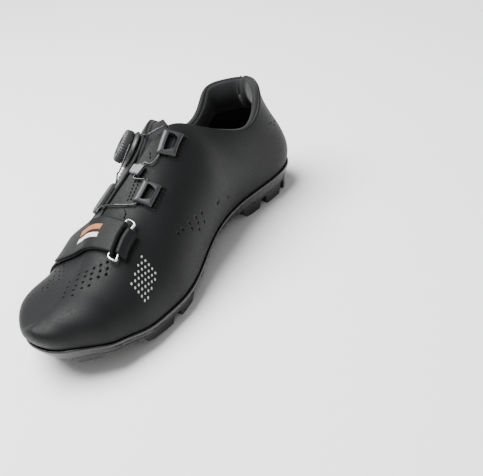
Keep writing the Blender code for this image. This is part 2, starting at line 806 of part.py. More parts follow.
def band(name, side, start, turn_at, back_to, low, wide_loop, finish, stations):
    """A strip that follows the upper, turns round a bar and comes back over itself.

    Places across the shoe are distances down the arch from the ridge, minus inside."""
    reach = []
    steps_out = 13
    for k in range(steps_out):
        reach.append(("low", start + (turn_at - start) * k / (steps_out - 1)))
    for k in range(1, 6):
        reach.append(("turn", k / 6))
    for k in range(steps_out):
        reach.append(("high", turn_at + (back_to - turn_at) * k / (steps_out - 1)))

    def at(t, distance, lift):
        here = -1 if distance < 0 else 1
        return over(here, t, arch_share(here, t, abs(distance)), lift)

    high_lift = low + STRAP_THICK + FIT

    def rise(distance):
        """How far the upper layer stands off, opening into a loop round the bar."""
        near = max(0, 1 - abs(distance - turn_at) / 0.012)
        return high_lift + (wide_loop - STRAP_THICK - FIT) * near**1.5

    def place(u, t, layer):
        kind, value = reach[int(u)]
        half = STRAP_THICK / 2 * (1 if layer else -1)
        middle = low + STRAP_THICK / 2
        if kind == "low":
            return at(t, value, middle + half)
        if kind == "high":
            return at(t, value, rise(value) + STRAP_THICK / 2 - half)
        top = rise(turn_at) + STRAP_THICK / 2
        centre = (middle + top) / 2
        radius = (top - middle) / 2 - half
        angle = math.pi * value
        along_arch = turn_at + side * radius * math.sin(angle)
        return at(t, along_arch, centre - radius * math.cos(angle))

    return plate(name, list(range(len(reach))), stations, place, finish)


def strap():
    edges = np.linspace(station(STRAP_BACK), station(STRAP_FRONT), 6)
    gap = RING_GAP
    loop = RING_WIRE + STRAP_THICK + RING_PLAY * 2
    band("forefoot_strap", -1, 0.058, -RING_AT, 0.034, STRAP_LIFT, loop, MICROFIBRE, edges)
    tab = np.linspace(station(STRAP_BACK + 0.006), station(STRAP_FRONT - 0.006), 5)
    band("ring_tab", 1, -RING_AT - gap - 0.012, -RING_AT - gap, -RING_AT - gap - 0.008,
         STRAP_LIFT, loop, MICROFIBRE, tab)
    lift = STRAP_LIFT + STRAP_THICK + RING_PLAY + RING_WIRE / 2
    back = station(STRAP_BACK - 0.007)
    front = station(STRAP_FRONT + 0.007)
    corners = []
    for t in np.linspace(back, front, 7):
        corners.append((t, -RING_AT))
    for t in np.linspace(front, back, 7):
        corners.append((t, -RING_AT - gap))
    path = []
    for t, distance in corners:
        path.append(over(-1, t, arch_share(-1, t, -distance), lift))
    tube("strap_ring", path, RING_WIRE, STEEL, cyclic=True)


# the lace guides: moulded frames on the upper with a channel under one bar for the lace
GUIDE_LONG = 0.0175
GUIDE_WIDE = 0.0125
GUIDE_TALL = 0.0032
CHANNEL = 0.0026
CHANNEL_TALL = 0.0020
CHANNEL_AT = -0.0045

# name, side, along, distance down the arch, turn in degrees
GUIDES = (
    ("guide_inner_upper", -1, 0.474, 0.0110, 24),
    ("guide_inner_lower", -1, 0.600, 0.0200, 8),
    ("guide_outer_lower", 1, 0.612, 0.0125, 6),
)
HOOK = ("lace_hook", -1, 0.566, 0.0030, 0)
HOOK_LONG = 0.0100
HOOK_IN = 0.0036
HOOK_OUT = -0.0075


def on_guide(row, ahead, across, lift):
    """A point off the upper in a guide's own directions."""
    name, side, along, down, turn = row
    c = math.cos(math.radians(turn))
    s = math.sin(math.radians(turn))
    t_along = along + (ahead * c - across * s) / LENGTH
    t = station(t_along)
    gap = float(np.linalg.norm(top_point(1, t) - top_point(-1, t))) / 2
    return face_at(t_along, side * (gap + down + ahead * s + across * c), lift)


def guide(row):
    half_long = GUIDE_LONG / 2
    half_wide = GUIDE_WIDE / 2
    us = [half_long * share for share in (-1, -0.85, -0.6, -0.35, 0, 0.35, 0.6, 0.85, 1)]
    left = CHANNEL_AT - CHANNEL / 2
    vs = [-half_wide, left, left + CHANNEL, left + CHANNEL + 0.0008,
          0.0012, half_wide * 0.55, half_wide * 0.8, half_wide]

    def place(u, v, layer):
        end = min(1, (half_long - abs(u)) / 0.003)
        rim = min(1, (half_wide - abs(v)) / 0.003)
        inside = left - 1e-6 < v < left + CHANNEL + 1e-6
        lift = FIT * 2 + (CHANNEL_TALL if inside else 0)
        if layer:
            lift = FIT * 2 + GUIDE_TALL * (0.72 + 0.28 * min(end, rim) + (0.12 if inside else 0))
        return on_guide(row, u, v, lift)

    def hole(i, j):
        return 2 <= i <= 5 and j in (3, 4)

    return plate(row[0], us, vs, place, MOULDED, hole, smooth=False)


def hook():
    """A small bridge over the throat that turns the lace back to the inner side."""
    us = [HOOK_LONG * share for share in (-0.5, -0.25, 0, 0.25, 0.5)]
    left = HOOK_IN - 0.0008 - CHANNEL
    vs = [HOOK_OUT, HOOK_OUT + 0.002, -0.002, left - 0.0006, left, left + CHANNEL, HOOK_IN]

    def place(u, v, layer):
        inside = left - 1e-6 < v < left + CHANNEL + 1e-6
        lift = 0.0010 + (CHANNEL_TALL if inside else 0)
        if layer:
            lift = 0.0010 + 0.0016 + (CHANNEL_TALL if v > left - 1e-6 else 0)
        return on_guide(HOOK, u, v, lift)

    return plate("lace_hook", us, vs, place, PALE, smooth=False)


DIAL_ALONG = 0.512
DIAL_DOWN = 0.0165


# the dial: a flanged base on the outer flap with a ribbed knob on it
def dial():
    t = station(DIAL_ALONG)
    v = arch_share(1, t, DIAL_DOWN)
    axis = normal(1, t, v)
    start = skin(1, t, v) + axis * (FIT + 0.0008)
    base = [
        (0.0, 0.0), (0.0145, 0.0), (0.0150, 0.0010), (0.0136, 0.0030), (0.0120, 0.0044),
        (0.0, 0.0044),
    ]
    turned("dial_base", base, start, axis, MOULDED, 36)
    r = DIAL_WIDE / 2
    low = 0.0047
    knob = [
        (0.0, low), (r * 0.88, low), (r, low + 0.0008), (r * 0.985, low + DIAL_TALL * 0.72),
        (r * 0.86, low + DIAL_TALL), (r * 0.62, low + DIAL_TALL), (r * 0.55, low + DIAL_TALL * 0.86),
        (0.0, low + DIAL_TALL * 0.86),
    ]
    turned("dial_knob", knob, start, axis, MOULDED, 54, waves=18, wave=0.0004)
    return start, axis


# the lace: one cord from the dial through the guides and the hook and back
def lace(start, axis):
    lift = FIT + LACE / 2 + 0.0007
    half = GUIDE_LONG / 2
    path = []

    def through(row, shares, length=half, across=CHANNEL_AT, up=lift):
        for k in shares:
            path.append(on_guide(row, k * length, across, up))

    def cross(a, b, pieces, up):
        """Over the throat from one (along, reach) to another, following the upper."""
        for k in range(1, pieces):
            share = k / pieces
            along = a[0] * (1 - share) + b[0] * share
            reach = a[1] * (1 - share) + b[1] * share
            path.append(face_at(along, reach, up))

    out = unit(np.cross(axis, [0.0, 1.0, 0.0]))
    if out[0] > 0:
        out = -out
    ports = []
    for shift in (-0.0065, 0.0065):
        reach = math.sqrt(0.0152**2 - shift**2)
        ports.append(start + axis * 0.0022 + out * reach + np.array([0.0, shift, 0.0]))
    upper_in, lower_in, lower_out = GUIDES
    path.append(ports[0])
    cross((0.486, 0.0010), (0.430, -0.0125), 5, 0.0040)
    through(upper_in, (-1.2, -0.85, -0.4, 0, 0.5, 1.2))
    cross((0.520, -0.0150), (0.536, -0.0090), 3, 0.0022)
    channel = HOOK_IN - 0.0008 - CHANNEL / 2
    through(HOOK, (-0.75, -0.3, 0.3, 0.75), HOOK_LONG, channel, 0.0010 + CHANNEL_TALL / 2)
    cross((0.588, -0.0105), (0.562, -0.0170), 3, 0.0022)
    through(lower_in, (-1.2, -0.5, 0, 0.5, 1.2))
    cross((0.640, -0.0150), (0.652, 0.0080), 6, 0.0020)
    through(lower_out, (1.2, 0.5, 0, -0.5, -1.2))
    cross((0.572, 0.0075), (0.545, 0.0050), 3, 0.0040)
    path.append(ports[1])
    tube("lace", path, LACE, CORD)


upper()
outsole()
for which, name in ((-1, "inner"), (1, "outer")):
    tread("tread_fore_" + name, which, FORE_TREAD)
    tread("tread_heel_" + name, which, HEEL_TREAD)
    toe_boss("toe_stud_" + name, which)
cleat_plate()
cleat_nuts()
insole()
tongue()
collar_pad()
strap()
for row in GUIDES:
    guide(row)
hook()
dial_start, dial_axis = dial()
lace(dial_start, dial_axis)

# everything is set centred over the origin, with the lowest point on the floor
bpy.context.view_layer.update()
lows = Vector((1e9, 1e9, 1e9))
highs = Vector((-1e9, -1e9, -1e9))
for obj in bpy.data.objects:
    for corner in obj.bound_box:
        for k in range(3):
            lows[k] = min(lows[k], corner[k])
            highs[k] = max(highs[k], corner[k])
shift = Vector((-(lows.x + highs.x) / 2, -(lows.y + highs.y) / 2, -lows.z))
for obj in bpy.data.objects:
    if obj.type == "MESH":
        for vertex in obj.data.vertices:
            vertex.co += shift
    else:
        for line in obj.data.splines:
            for point in line.points:
                point.co = (*(point.co.xyz + shift), 1.0)
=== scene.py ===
import math

import bmesh
import bpy
import numpy as np
from mathutils import Matrix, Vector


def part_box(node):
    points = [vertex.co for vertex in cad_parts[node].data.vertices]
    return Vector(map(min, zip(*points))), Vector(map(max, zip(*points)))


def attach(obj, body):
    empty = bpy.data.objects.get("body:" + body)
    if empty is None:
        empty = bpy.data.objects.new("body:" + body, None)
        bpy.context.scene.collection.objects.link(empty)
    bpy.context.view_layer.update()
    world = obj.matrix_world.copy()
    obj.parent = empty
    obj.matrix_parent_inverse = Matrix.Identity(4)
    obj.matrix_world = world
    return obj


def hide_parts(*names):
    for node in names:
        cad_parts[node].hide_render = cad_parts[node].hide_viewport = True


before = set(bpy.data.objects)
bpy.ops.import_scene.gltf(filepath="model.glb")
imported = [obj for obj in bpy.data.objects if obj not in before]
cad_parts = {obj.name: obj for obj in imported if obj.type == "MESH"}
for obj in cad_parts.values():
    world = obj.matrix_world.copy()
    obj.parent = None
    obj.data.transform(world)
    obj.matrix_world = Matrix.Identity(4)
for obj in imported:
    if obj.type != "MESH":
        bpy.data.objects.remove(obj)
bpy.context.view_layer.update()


# The camera stands in front of the toe on the inner side of the foot and looks down on
# the shoe, tilted a little to one side.
AZIMUTH = 219.36
ELEVATION = 32.61
ROLL = 11.23
DISTANCE = 0.6162
LENS_PIXELS = 866.5
PICTURE_WIDE = 483
AIM_HEIGHT = 0.045
AIM_RIGHT = 0.05871
AIM_DOWN = 0.01955
SENSOR = 36.0


def stood(*columns):
    """The matrix of an object from its three directions and its place."""
    made = Matrix.Identity(4)
    for n, column in enumerate(columns):
        for k in range(3):
            made[k][n] = column[k]
    return made


turn = math.radians(AZIMUTH)
climb = math.radians(ELEVATION)
toward_eye = np.array([
    math.sin(turn) * math.cos(climb), -math.cos(turn) * math.cos(climb), math.sin(climb),
])
level = np.cross(-toward_eye, [0.0, 0.0, 1.0])
level /= np.linalg.norm(level)
below = np.cross(-toward_eye, level)
roll = math.radians(ROLL)
right = level * math.cos(roll) + below * math.sin(roll)
down = below * math.cos(roll) - level * math.sin(roll)
eye = np.array([0, 0, AIM_HEIGHT]) + right * AIM_RIGHT + down * AIM_DOWN + toward_eye * DISTANCE

lens = bpy.data.cameras.new("camera")
lens.sensor_fit = "HORIZONTAL"
lens.sensor_width = SENSOR
lens.lens = LENS_PIXELS / PICTURE_WIDE * SENSOR
lens.clip_start = 0.01
camera = bpy.data.objects.new("camera", lens)
camera.matrix_world = stood(right, -down, toward_eye, eye)
bpy.context.collection.objects.link(camera)
bpy.context.scene.camera = camera


# The studio: a matt white table and one broad lamp overhead with a weaker one in front,
# in a pale room. Nothing here belongs to the shoe.
def shade(code):
    """An sRGB hex colour as linear red, green, blue and alpha."""
    parts = [int(code[k:k + 2], 16) / 255 for k in (1, 3, 5)]
    return tuple(p / 12.92 if p < 0.04045 else ((p + 0.055) / 1.055) ** 2.4 for p in parts) + (1.0,)


def add(tree, kind, settings):
    """One node: lower-case keys are its properties, the others are sockets or their links."""
    made = tree.nodes.new("ShaderNode" + kind)
    for key, value in settings.items():
        if isinstance(key, str) and key[0].islower():
            setattr(made, key, value)
        elif isinstance(value, bpy.types.NodeSocket):
            tree.links.new(value, made.inputs[key])
        else:
            made.inputs[key].default_value = value
    return made


def finish_of(name):
    """A new material with an empty tree, and its output."""
    made = bpy.data.materials.new(name)
    made.use_nodes = True
    made.node_tree.nodes.clear()
    return made, made.node_tree


def surface(tree, settings):
    shader = add(tree, "BsdfPrincipled", settings)
    add(tree, "OutputMaterial", {"Surface": shader.outputs[0]})
    return shader


def spots(tree, size, **more):
    """Round cells of a set size in metres, as the distance from each middle."""
    place = add(tree, "TexCoord", {}).outputs["Object"]
    made = add(tree, "TexVoronoi", {"Vector": place, "Scale": 1 / size, **more})
    return made.outputs["Distance"]


def noise(tree, size, detail, **more):
    """Cloudy patches of a set size in metres."""
    place = add(tree, "TexCoord", {}).outputs["Object"]
    made = add(tree, "TexNoise", {"Vector": place, "Scale": 1 / size, "Detail": detail, **more})
    return made.outputs["Fac"]


def blend(tree, value, dark, light, start=0.0, end=1.0):
    """A colour that goes from dark to light between two values."""
    ramp = add(tree, "ValToRGB", {"Fac": value})
    for stop, position, code in zip(ramp.color_ramp.elements, (start, end), (dark, light)):
        stop.position = position
        stop.color = shade(code)
    return ramp.outputs["Color"]


def between(tree, value, low, high, start=0.3, end=0.7):
    """A roughness that goes from low to high between two values."""
    settings = {"Value": value, "From Min": start, "From Max": end, "To Min": low, "To Max": high}
    return add(tree, "MapRange", settings).outputs[0]


def relief(tree, value, strength, depth):
    return add(tree, "Bump", {"Height": value, "Strength": strength, "Distance": depth}).outputs[0]


# Matt paint: it only scatters, and keeps the soft contact shadow.
table_paint, tree = finish_of("matt_white_paint")
surface(tree, {"Base Color": shade("#fcfcfc"), "Roughness": 0.95, "Specular IOR Level": 0.1})

FLOOR_REACH = 6.0
ROOM_LIGHT = 0.42
floor_mesh = bpy.data.meshes.new("table")
floor_mesh.from_pydata(
    [(x * FLOOR_REACH, y * FLOOR_REACH, 0) for x, y in ((-1, -1), (1, -1), (1, 1), (-1, 1))],
    [], [(0, 1, 2, 3)],
)
floor_mesh.materials.append(table_paint)
floor = bpy.data.objects.new("table", floor_mesh)
bpy.context.collection.objects.link(floor)

room = bpy.data.worlds.new("room")
room.use_nodes = True
room.node_tree.nodes["Background"].inputs["Color"].default_value = shade("#ffffff")
room.node_tree.nodes["Background"].inputs["Strength"].default_value = ROOM_LIGHT
bpy.context.scene.world = room

# name, place, size, power in watts
LAMPS = (
    ("overhead", (0.40, 0.25, 1.25), 1.20, 60.0),
    ("front", (-0.90, 1.10, 0.70), 0.80, 1.5),
)
for name, spot, size, power in LAMPS:
    lamp = bpy.data.lights.new(name, "AREA")
    lamp.shape = "DISK"
    lamp.size = size
    lamp.energy = power
    lamp_object = bpy.data.objects.new(name, lamp)
    spot = np.array(spot)
    aim = -spot / np.linalg.norm(spot)
    side = np.cross(aim, [0.0, 0.3, 1.0])
    side /= np.linalg.norm(side)
    above = np.cross(side, aim)
    lamp_object.matrix_world = stood(side, above, -aim, spot)
    bpy.context.collection.objects.link(lamp_object)


# The upper: one piece of coated microfibre, pulled tight over a last and glued under the
# foot. It is cut open for the collar and the throat, and punched for air at the toe.
LENGTH = 0.275
BALL_WIDTH = 0.098
HEIGHT = 0.100
WALL = 0.0022
FIT = 0.0003
MARGIN = 0.009
SLOT_END = 0.738
CLEAT_BACK = 0.4954
CLEAT_INWARD = 0.0019

# along the foot from the heel, edge of the sole on the inner side, edge on the outer side
OUTLINE = (
    (0.0000, 0.000, 0.000), (0.0254, 0.200, 0.200), (0.0565, 0.278, 0.278), (0.0990, 0.318, 0.325),
    (0.1513, 0.318, 0.340), (0.2135, 0.290, 0.340), (0.2829, 0.254, 0.338), (0.3580, 0.243, 0.348),
    (0.4373, 0.285, 0.372), (0.5181, 0.368, 0.425), (0.5990, 0.458, 0.470), (0.6782, 0.512, 0.492),
    (0.7534, 0.514, 0.473), (0.8221, 0.506, 0.439), (0.8736, 0.466, 0.406), (0.9175, 0.436, 0.336),
    (0.9529, 0.350, 0.235), (0.9788, 0.272, 0.125), (0.9946, 0.188, 0.030), (1.0000, 0.090, -0.090),
)

# along, seat of the foot, top line inside, top line outside, middle of the top, opening
# to the inner side, opening to the outer side, forward set of the top line
TOP = (
    (0.0000, 0.200, 0.913, 0.900, 0.000, 0.000, 0.000, 0.049),
    (0.0254, 0.200, 0.916, 0.898, 0.000, 0.143, 0.143, 0.042),
    (0.0565, 0.198, 0.899, 0.889, 0.000, 0.225, 0.241, 0.040),
    (0.0990, 0.195, 0.847, 0.849, 0.000, 0.275, 0.285, 0.028),
    (0.1513, 0.191, 0.770, 0.750, 0.000, 0.297, 0.291, 0.012),
    (0.2135, 0.186, 0.729, 0.697, 0.000, 0.294, 0.295, 0.002),
    (0.2829, 0.177, 0.799, 0.767, 0.000, 0.262, 0.277, -0.002),
    (0.3580, 0.162, 0.925, 0.905, 0.000, 0.190, 0.206, 0.000),
    (0.4373, 0.149, 1.040, 1.042, -0.010, 0.095, 0.096, 0.000),
    (0.5181, 0.142, 0.961, 0.961, -0.013, 0.034, 0.030, 0.000),
    (0.5990, 0.137, 0.826, 0.826, 0.022, 0.020, 0.012, 0.000),
    (0.6782, 0.134, 0.709, 0.709, 0.049, 0.012, 0.012, 0.000),
    (0.7534, 0.137, 0.589, 0.589, 0.034, 0.000, 0.000, 0.000),
    (0.8221, 0.157, 0.520, 0.520, -0.007, 0.000, 0.000, 0.000),
    (0.8736, 0.186, 0.492, 0.492, -0.037, 0.000, 0.000, 0.000),
    (0.9175, 0.217, 0.477, 0.477, -0.058, 0.000, 0.000, 0.000),
    (0.9529, 0.239, 0.462, 0.462, -0.070, 0.000, 0.000, 0.000),
    (0.9788, 0.253, 0.446, 0.446, -0.077, 0.000, 0.000, 0.000),
    (0.9946, 0.252, 0.441, 0.441, -0.076, 0.000, 0.000, 0.000),
    (1.0000, 0.252, 0.441, 0.441, -0.076, 0.000, 0.000, 0.000),
)

# along, flare inside, flare outside, lean of the top inside, lean of the top outside,
# lower reach, upper reach inside, upper reach outside
BODY = (
    (0.0000, 29, 29, 100, 100, 0.33, 0.30, 0.30), (0.0565, 31, 31, 94, 94, 0.32, 0.30, 0.30),
    (0.1513, 17, 17, 82, 82, 0.30, 0.30, 0.30), (0.2135, 21, 15, 76, 76, 0.31, 0.31, 0.31),
    (0.2829, 28, 16, 64, 68, 0.32, 0.32, 0.32), (0.3580, 36, 15, 46, 54, 0.34, 0.34, 0.34),
    (0.4373, 33, 14, 26, 42, 0.36, 0.38, 0.36), (0.5181, 24, 13, 14, 40, 0.38, 0.40, 0.35),
    (0.5990, 16, 9, 0, 44, 0.38, 0.42, 0.32), (0.6782, 13, 6, -18, 46, 0.38, 0.42, 0.30),
    (0.7534, 11, 4, -35, 38, 0.40, 0.44, 0.33), (0.8221, 9, 6, -26, 27, 0.41, 0.48, 0.40),
    (0.8736, 8, 7, -18, 18, 0.42, 0.52, 0.47), (0.9529, 17, 18, -12, 12, 0.44, 0.56, 0.54),
    (0.9827, 26, 38, -4, 4, 0.44, 0.56, 0.57), (1.0000, 42, 42, 0, 0, 0.44, 0.57, 0.57),
)


def station(along):
    """Even steps of this value crowd toward the heel and the toe."""
    return np.arccos(1 - 2 * np.clip(along, 0, 1)) / np.pi


def along_at(t):
    return (1 - np.cos(np.pi * np.asarray(t))) / 2


def curve(rows, column):
    """A cubic of even curvature through one column of a table."""
    x = station(np.array([row[0] for row in rows]))
    y = np.array([row[column] for row in rows], float)
    count = len(x)
    step = np.diff(x)
    left = np.eye(count)
    right = np.zeros(count)
    for i in range(1, count - 1):
        left[i, i - 1] = step[i - 1]
        left[i, i] = 2 * (step[i - 1] + step[i])
        left[i, i + 1] = step[i]
        right[i] = 6 * ((y[i + 1] - y[i]) / step[i] - (y[i] - y[i - 1]) / step[i - 1])
    bend = np.linalg.solve(left, right)

    def value(t):
        i = np.clip(np.searchsorted(x, t) - 1, 0, count - 2)
        h = step[i]
        a = (x[i + 1] - t) / h
        b = (t - x[i]) / h
        cubic = ((a**3 - a) * bend[i] + (b**3 - b) * bend[i + 1]) * h * h / 6
        return a * y[i] + b * y[i + 1] + cubic

    return value


EDGE = {-1: curve(OUTLINE, 1), 1: curve(OUTLINE, 2)}
SEAT = curve(TOP, 1)
TOP_LINE = {-1: curve(TOP, 2), 1: curve(TOP, 3)}
MIDDLE = curve(TOP, 4)
OPENING = {-1: curve(TOP, 5), 1: curve(TOP, 6)}
SET = curve(TOP, 7)
FLARE = {-1: curve(BODY, 1), 1: curve(BODY, 2)}
LEAN = {-1: curve(BODY, 3), 1: curve(BODY, 4)}
LOW_REACH = curve(BODY, 5)
HIGH_REACH = {-1: curve(BODY, 6), 1: curve(BODY, 7)}
UP = np.array([0.0, 0.0, 1.0])
NOSE = 0.94

plate_low, plate_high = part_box("cleat_plate")
CENTRE = np.array([
    (plate_low.x + plate_high.x) / 2 + CLEAT_INWARD,
    plate_low.y - CLEAT_BACK * LENGTH,
    0.0,
])


def unit(v):
    return v / np.maximum(np.linalg.norm(v, axis=-1, keepdims=True), 1e-12)


def stack(x, y, z):
    return np.stack(np.broadcast_arrays(x, y, z), axis=-1).astype(float)


def edge_point(side, t):
    """The edge of the sole's top face, where the upper meets it."""
    flat = stack(side * EDGE[side](t) * BALL_WIDTH, along_at(t) * LENGTH, SEAT(t) * HEIGHT)
    return flat + CENTRE


def outward(side, t):
    """Level direction straight out of the sole's outline."""
    t = np.asarray(t, float)
    run = edge_point(side, np.minimum(t + 0.002, 1)) - edge_point(side, np.maximum(t - 0.002, 0))
    out = unit(stack(run[..., 1], -run[..., 0], 0 * t)) * side
    out = np.where((t <= 0)[..., None], [0.0, -1.0, 0.0], out)
    return np.where((t >= 1)[..., None], [0.0, 1.0, 0.0], out)


def slot_share(t):
    """1 along the throat, falling to 0 at the front end of its slot."""
    return np.clip((station(SLOT_END) - t) / 0.04, 0, 1)


def top_point(side, t):
    """The top line: the collar, the edge of the throat slot, then the ridge of the toe."""
    t = np.asarray(t, float)
    opening = np.maximum(OPENING[side](t), 0.010) * slot_share(t) * (t > 0)
    closed = t >= station(SLOT_END) - 1e-9
    height = np.where(closed, TOP_LINE[-1](t), TOP_LINE[side](t))
    x = (MIDDLE(t) + side * opening) * BALL_WIDTH
    return stack(x, (along_at(t) + SET(t)) * LENGTH, height * HEIGHT) + CENTRE


def sideways(side, t):
    """The way an arch leaves the top line: outward at the heel, then across the throat,
    then down the nose of the toe."""
    t = np.asarray(t, float)
    out = outward(side, t)
    share = np.clip((t - 0.42) / 0.12, 0, 1)[..., None]
    held = np.minimum(t, NOSE)
    run = top_point(side, held + 0.002) - top_point(side, np.maximum(held - 0.002, 0))
    nose = unit(run * [0.0, 1.0, 1.0])
    ahead = out * [1.0, 0.0, 0.0] + nose * np.maximum(out[..., 1:2], 0)
    return np.where(share == 0, out, unit(out * (1 - share) + unit(ahead) * share))


def skin(side, t, v):
    """A point of the upper's outer face: v runs from the sole's edge to the top line."""
    t, v = np.broadcast_arrays(np.asarray(t, float), np.asarray(v, float))
    low = edge_point(side, t) + UP * FIT
    high = top_point(side, t)
    span = np.linalg.norm(high - low, axis=-1, keepdims=True)
    flare = np.radians(FLARE[side](t))[..., None]
    share = slot_share(t)
    through = side * (LEAN[1](t) - LEAN[-1](t)) / 2
    lean = np.radians(LEAN[side](t) * share + through * (1 - share))[..., None]
    rise = np.cos(flare) * UP + np.sin(flare) * outward(side, t)
    fall = np.cos(lean) * sideways(side, t) - np.sin(lean) * UP
    a = low + rise * span * LOW_REACH(t)[..., None]
    b = high + fall * span * HIGH_REACH[side](t)[..., None]
    v = v[..., None]
    w = 1 - v
    return w**3 * low + 3 * w * w * v * a + 3 * w * v * v * b + v**3 * high


def raw_normal(side, t, v):
    e = 0.002
    run = skin(side, np.minimum(t + e, 1), v) - skin(side, np.maximum(t - e, 0), v)
    rise = skin(side, t, np.minimum(v + e, 1)) - skin(side, t, np.maximum(v - e, 0))
    return unit(np.cross(run, rise) * side)


def normal(side, t, v):
    """Straight out of the upper's outer face, shared where the two sides join."""
    t, v = np.broadcast_arrays(np.asarray(t, float), np.asarray(v, float))
    shared = (t <= 0) | (t >= 1) | ((v >= 1) & (t >= station(SLOT_END) - 1e-9))
    v = np.where(t >= 1, np.minimum(v, 0.95), v)
    both = unit(raw_normal(-1, t, v) + raw_normal(1, t, v))
    return np.where(shared[..., None], both, raw_normal(side, t, v))


def over(side, t, v, lift):
    """A point at a set distance off the upper's outer face."""
    lift = np.asarray(lift, float)[..., None]
    return skin(side, t, v) + normal(side, t, v) * lift


def arch_run(side, t):
    """Shares down one arch from the top line, and the distance run at each."""
    shares = 1 - np.arange(33) / 32
    arch = skin(side, t.reshape(-1, 1), shares[None, :])
    steps = np.linalg.norm(np.diff(arch, axis=1), axis=2)
    return shares, np.concatenate([np.zeros((len(arch), 1)), np.cumsum(steps, axis=1)], axis=1)


def arch_share(side, t, distance):
    """The share v whose point lies a set distance down the arch from the top line."""
    t, distance = np.broadcast_arrays(np.asarray(t, float), np.asarray(distance, float))
    shares, run = arch_run(side, t)
    found = [np.interp(d, r, shares) for d, r in zip(distance.reshape(-1), run)]
    return np.array(found).reshape(t.shape)


def at(side, along, distance, lift=0.0):
    """A point off the upper by its place along the foot and its distance down the arch."""
    t = station(along)
    return over(side, t, arch_share(side, t, distance), lift)


def build(name, points, faces, materials, smooth=True, face_finish=None, weld=2e-6):
    """One mesh object from points and faces, with its face directions made to agree."""
    mesh = bpy.data.meshes.new(name)
    mesh.from_pydata(np.asarray(points).tolist(), [], faces)
    if face_finish is not None:
        mesh.polygons.foreach_set("material_index", np.asarray(face_finish, np.int32))
    bm = bmesh.new()
    bm.from_mesh(mesh)
    if weld:
        bmesh.ops.remove_doubles(bm, verts=bm.verts, dist=weld)
        bmesh.ops.dissolve_degenerate(bm, edges=bm.edges, dist=weld)
    bmesh.ops.recalc_face_normals(bm, faces=bm.faces)
    for face in bm.faces:
        face.smooth = smooth
    bm.to_mesh(mesh)
    bm.free()
    made = bpy.data.objects.new(name, mesh)
    for each in materials if isinstance(materials, (list, tuple)) else [materials]:
        mesh.materials.append(each)
    bpy.context.collection.objects.link(made)
    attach(made, "root")
    return made


def crisp(made, degrees):
    """Keeps the corners of a mesh sharp where its faces meet at more than an angle."""
    made.modifiers.new("crisp", "EDGE_SPLIT").split_angle = math.radians(degrees)


def quads(rows, cols, start=0, round_rows=False, round_cols=False):
    """The faces of a lattice of points, row after row."""
    i, j = np.meshgrid(
        np.arange(rows if round_rows else rows - 1),
        np.arange(cols if round_cols else cols - 1), indexing="ij",
    )
    k = (i + 1) % rows
    n = (j + 1) % cols
    faces = np.stack([i * cols + j, k * cols + j, k * cols + n, i * cols + n], axis=-1)
    return (faces.reshape(-1, 4) + start).tolist()


EDGE_ROUND = WALL / 2
NEAR_RUN = 0.046
ROW_LEAST = 0.0016

# stretches of the foot with small holes: from, to, rows in it
ZONES = ((0.763, 0.915, 60), (0.510, 0.640, 50), (0.040, 0.112, 26))

# side, along the foot, distance down the arch, reach along, reach down, height of the form
CREASES = (
    (-1, 0.311, 0.0200, 0.060, 0.007, -0.00045), (-1, 0.342, 0.0330, 0.070, 0.008, 0.00035),
    (-1, 0.435, 0.0420, 0.060, 0.010, -0.00040), (-1, 0.565, 0.0330, 0.030, 0.005, 0.00030),
    (-1, 0.679, 0.0180, 0.020, 0.004, -0.00035), (-1, 0.689, 0.0300, 0.024, 0.005, 0.00030),
    (-1, 0.580, 0.0080, 0.014, 0.004, -0.00030), (-1, 0.653, 0.0060, 0.020, 0.005, -0.00030),
    (-1, 0.819, 0.0060, 0.016, 0.030, -0.00030), (-1, 0.062, 0.0300, 0.040, 0.010, -0.00035),
    (1, 0.311, 0.0200, 0.060, 0.007, -0.00045), (1, 0.342, 0.0330, 0.070, 0.008, 0.00035),
    (1, 0.674, 0.0240, 0.022, 0.005, 0.00035), (1, 0.580, 0.0350, 0.040, 0.008, -0.00040),
    (1, 0.819, 0.0060, 0.016, 0.030, -0.00030), (1, 0.062, 0.0300, 0.040, 0.010, -0.00035),
)

# the middles of the punched holes: along the foot, distance down the arch
TOE_HOLES = {
    -1: ((0.908, 0.0054), (0.897, 0.0114), (0.897, 0.0038), (0.883, 0.0093), (0.880, 0.0026),
         (0.868, 0.0095), (0.868, 0.0153), (0.865, 0.0013), (0.852, 0.0078), (0.852, 0.0139),
         (0.852, 0.0197), (0.838, 0.0067), (0.838, 0.0130), (0.838, 0.0185), (0.828, 0.0120),
         (0.828, 0.0170), (0.817, 0.0166), (0.817, 0.0222), (0.828, 0.0230), (0.806, 0.0206),
         (0.806, 0.0263), (0.817, 0.0272), (0.795, 0.0247)),
    1: ((0.880, 0.0204), (0.871, 0.0232), (0.871, 0.0183), (0.861, 0.0206), (0.848, 0.0237),
        (0.861, 0.0150), (0.845, 0.0198), (0.831, 0.0234), (0.810, 0.0285), (0.848, 0.0131),
        (0.831, 0.0173), (0.814, 0.0220), (0.795, 0.0273), (0.835, 0.0111), (0.817, 0.0160),
        (0.799, 0.0202), (0.784, 0.0245), (0.768, 0.0278)),
}
SIDE_HOLES = (
    (0.625, 0.0540), (0.607, 0.0549), (0.579, 0.0559), (0.579, 0.0598), (0.552, 0.0581),
    (0.552, 0.0621), (0.556, 0.0664), (0.529, 0.0606), (0.529, 0.0672), (0.455, 0.0696),
    (0.382, 0.0631),
)
HEEL_HOLES = (
    (0.063, 0.0249), (0.059, 0.0317), (0.101, 0.0216), (0.075, 0.0306), (0.082, 0.0260),
)
HOLE = 0.00080
HOLE_DEEP = 0.0017

# steps from a hole's middle to the eight points round it
AROUND = ((1, 0), (1, -1), (0, -1), (-1, -1), (-1, 0), (-1, 1), (0, 1), (1, 1))


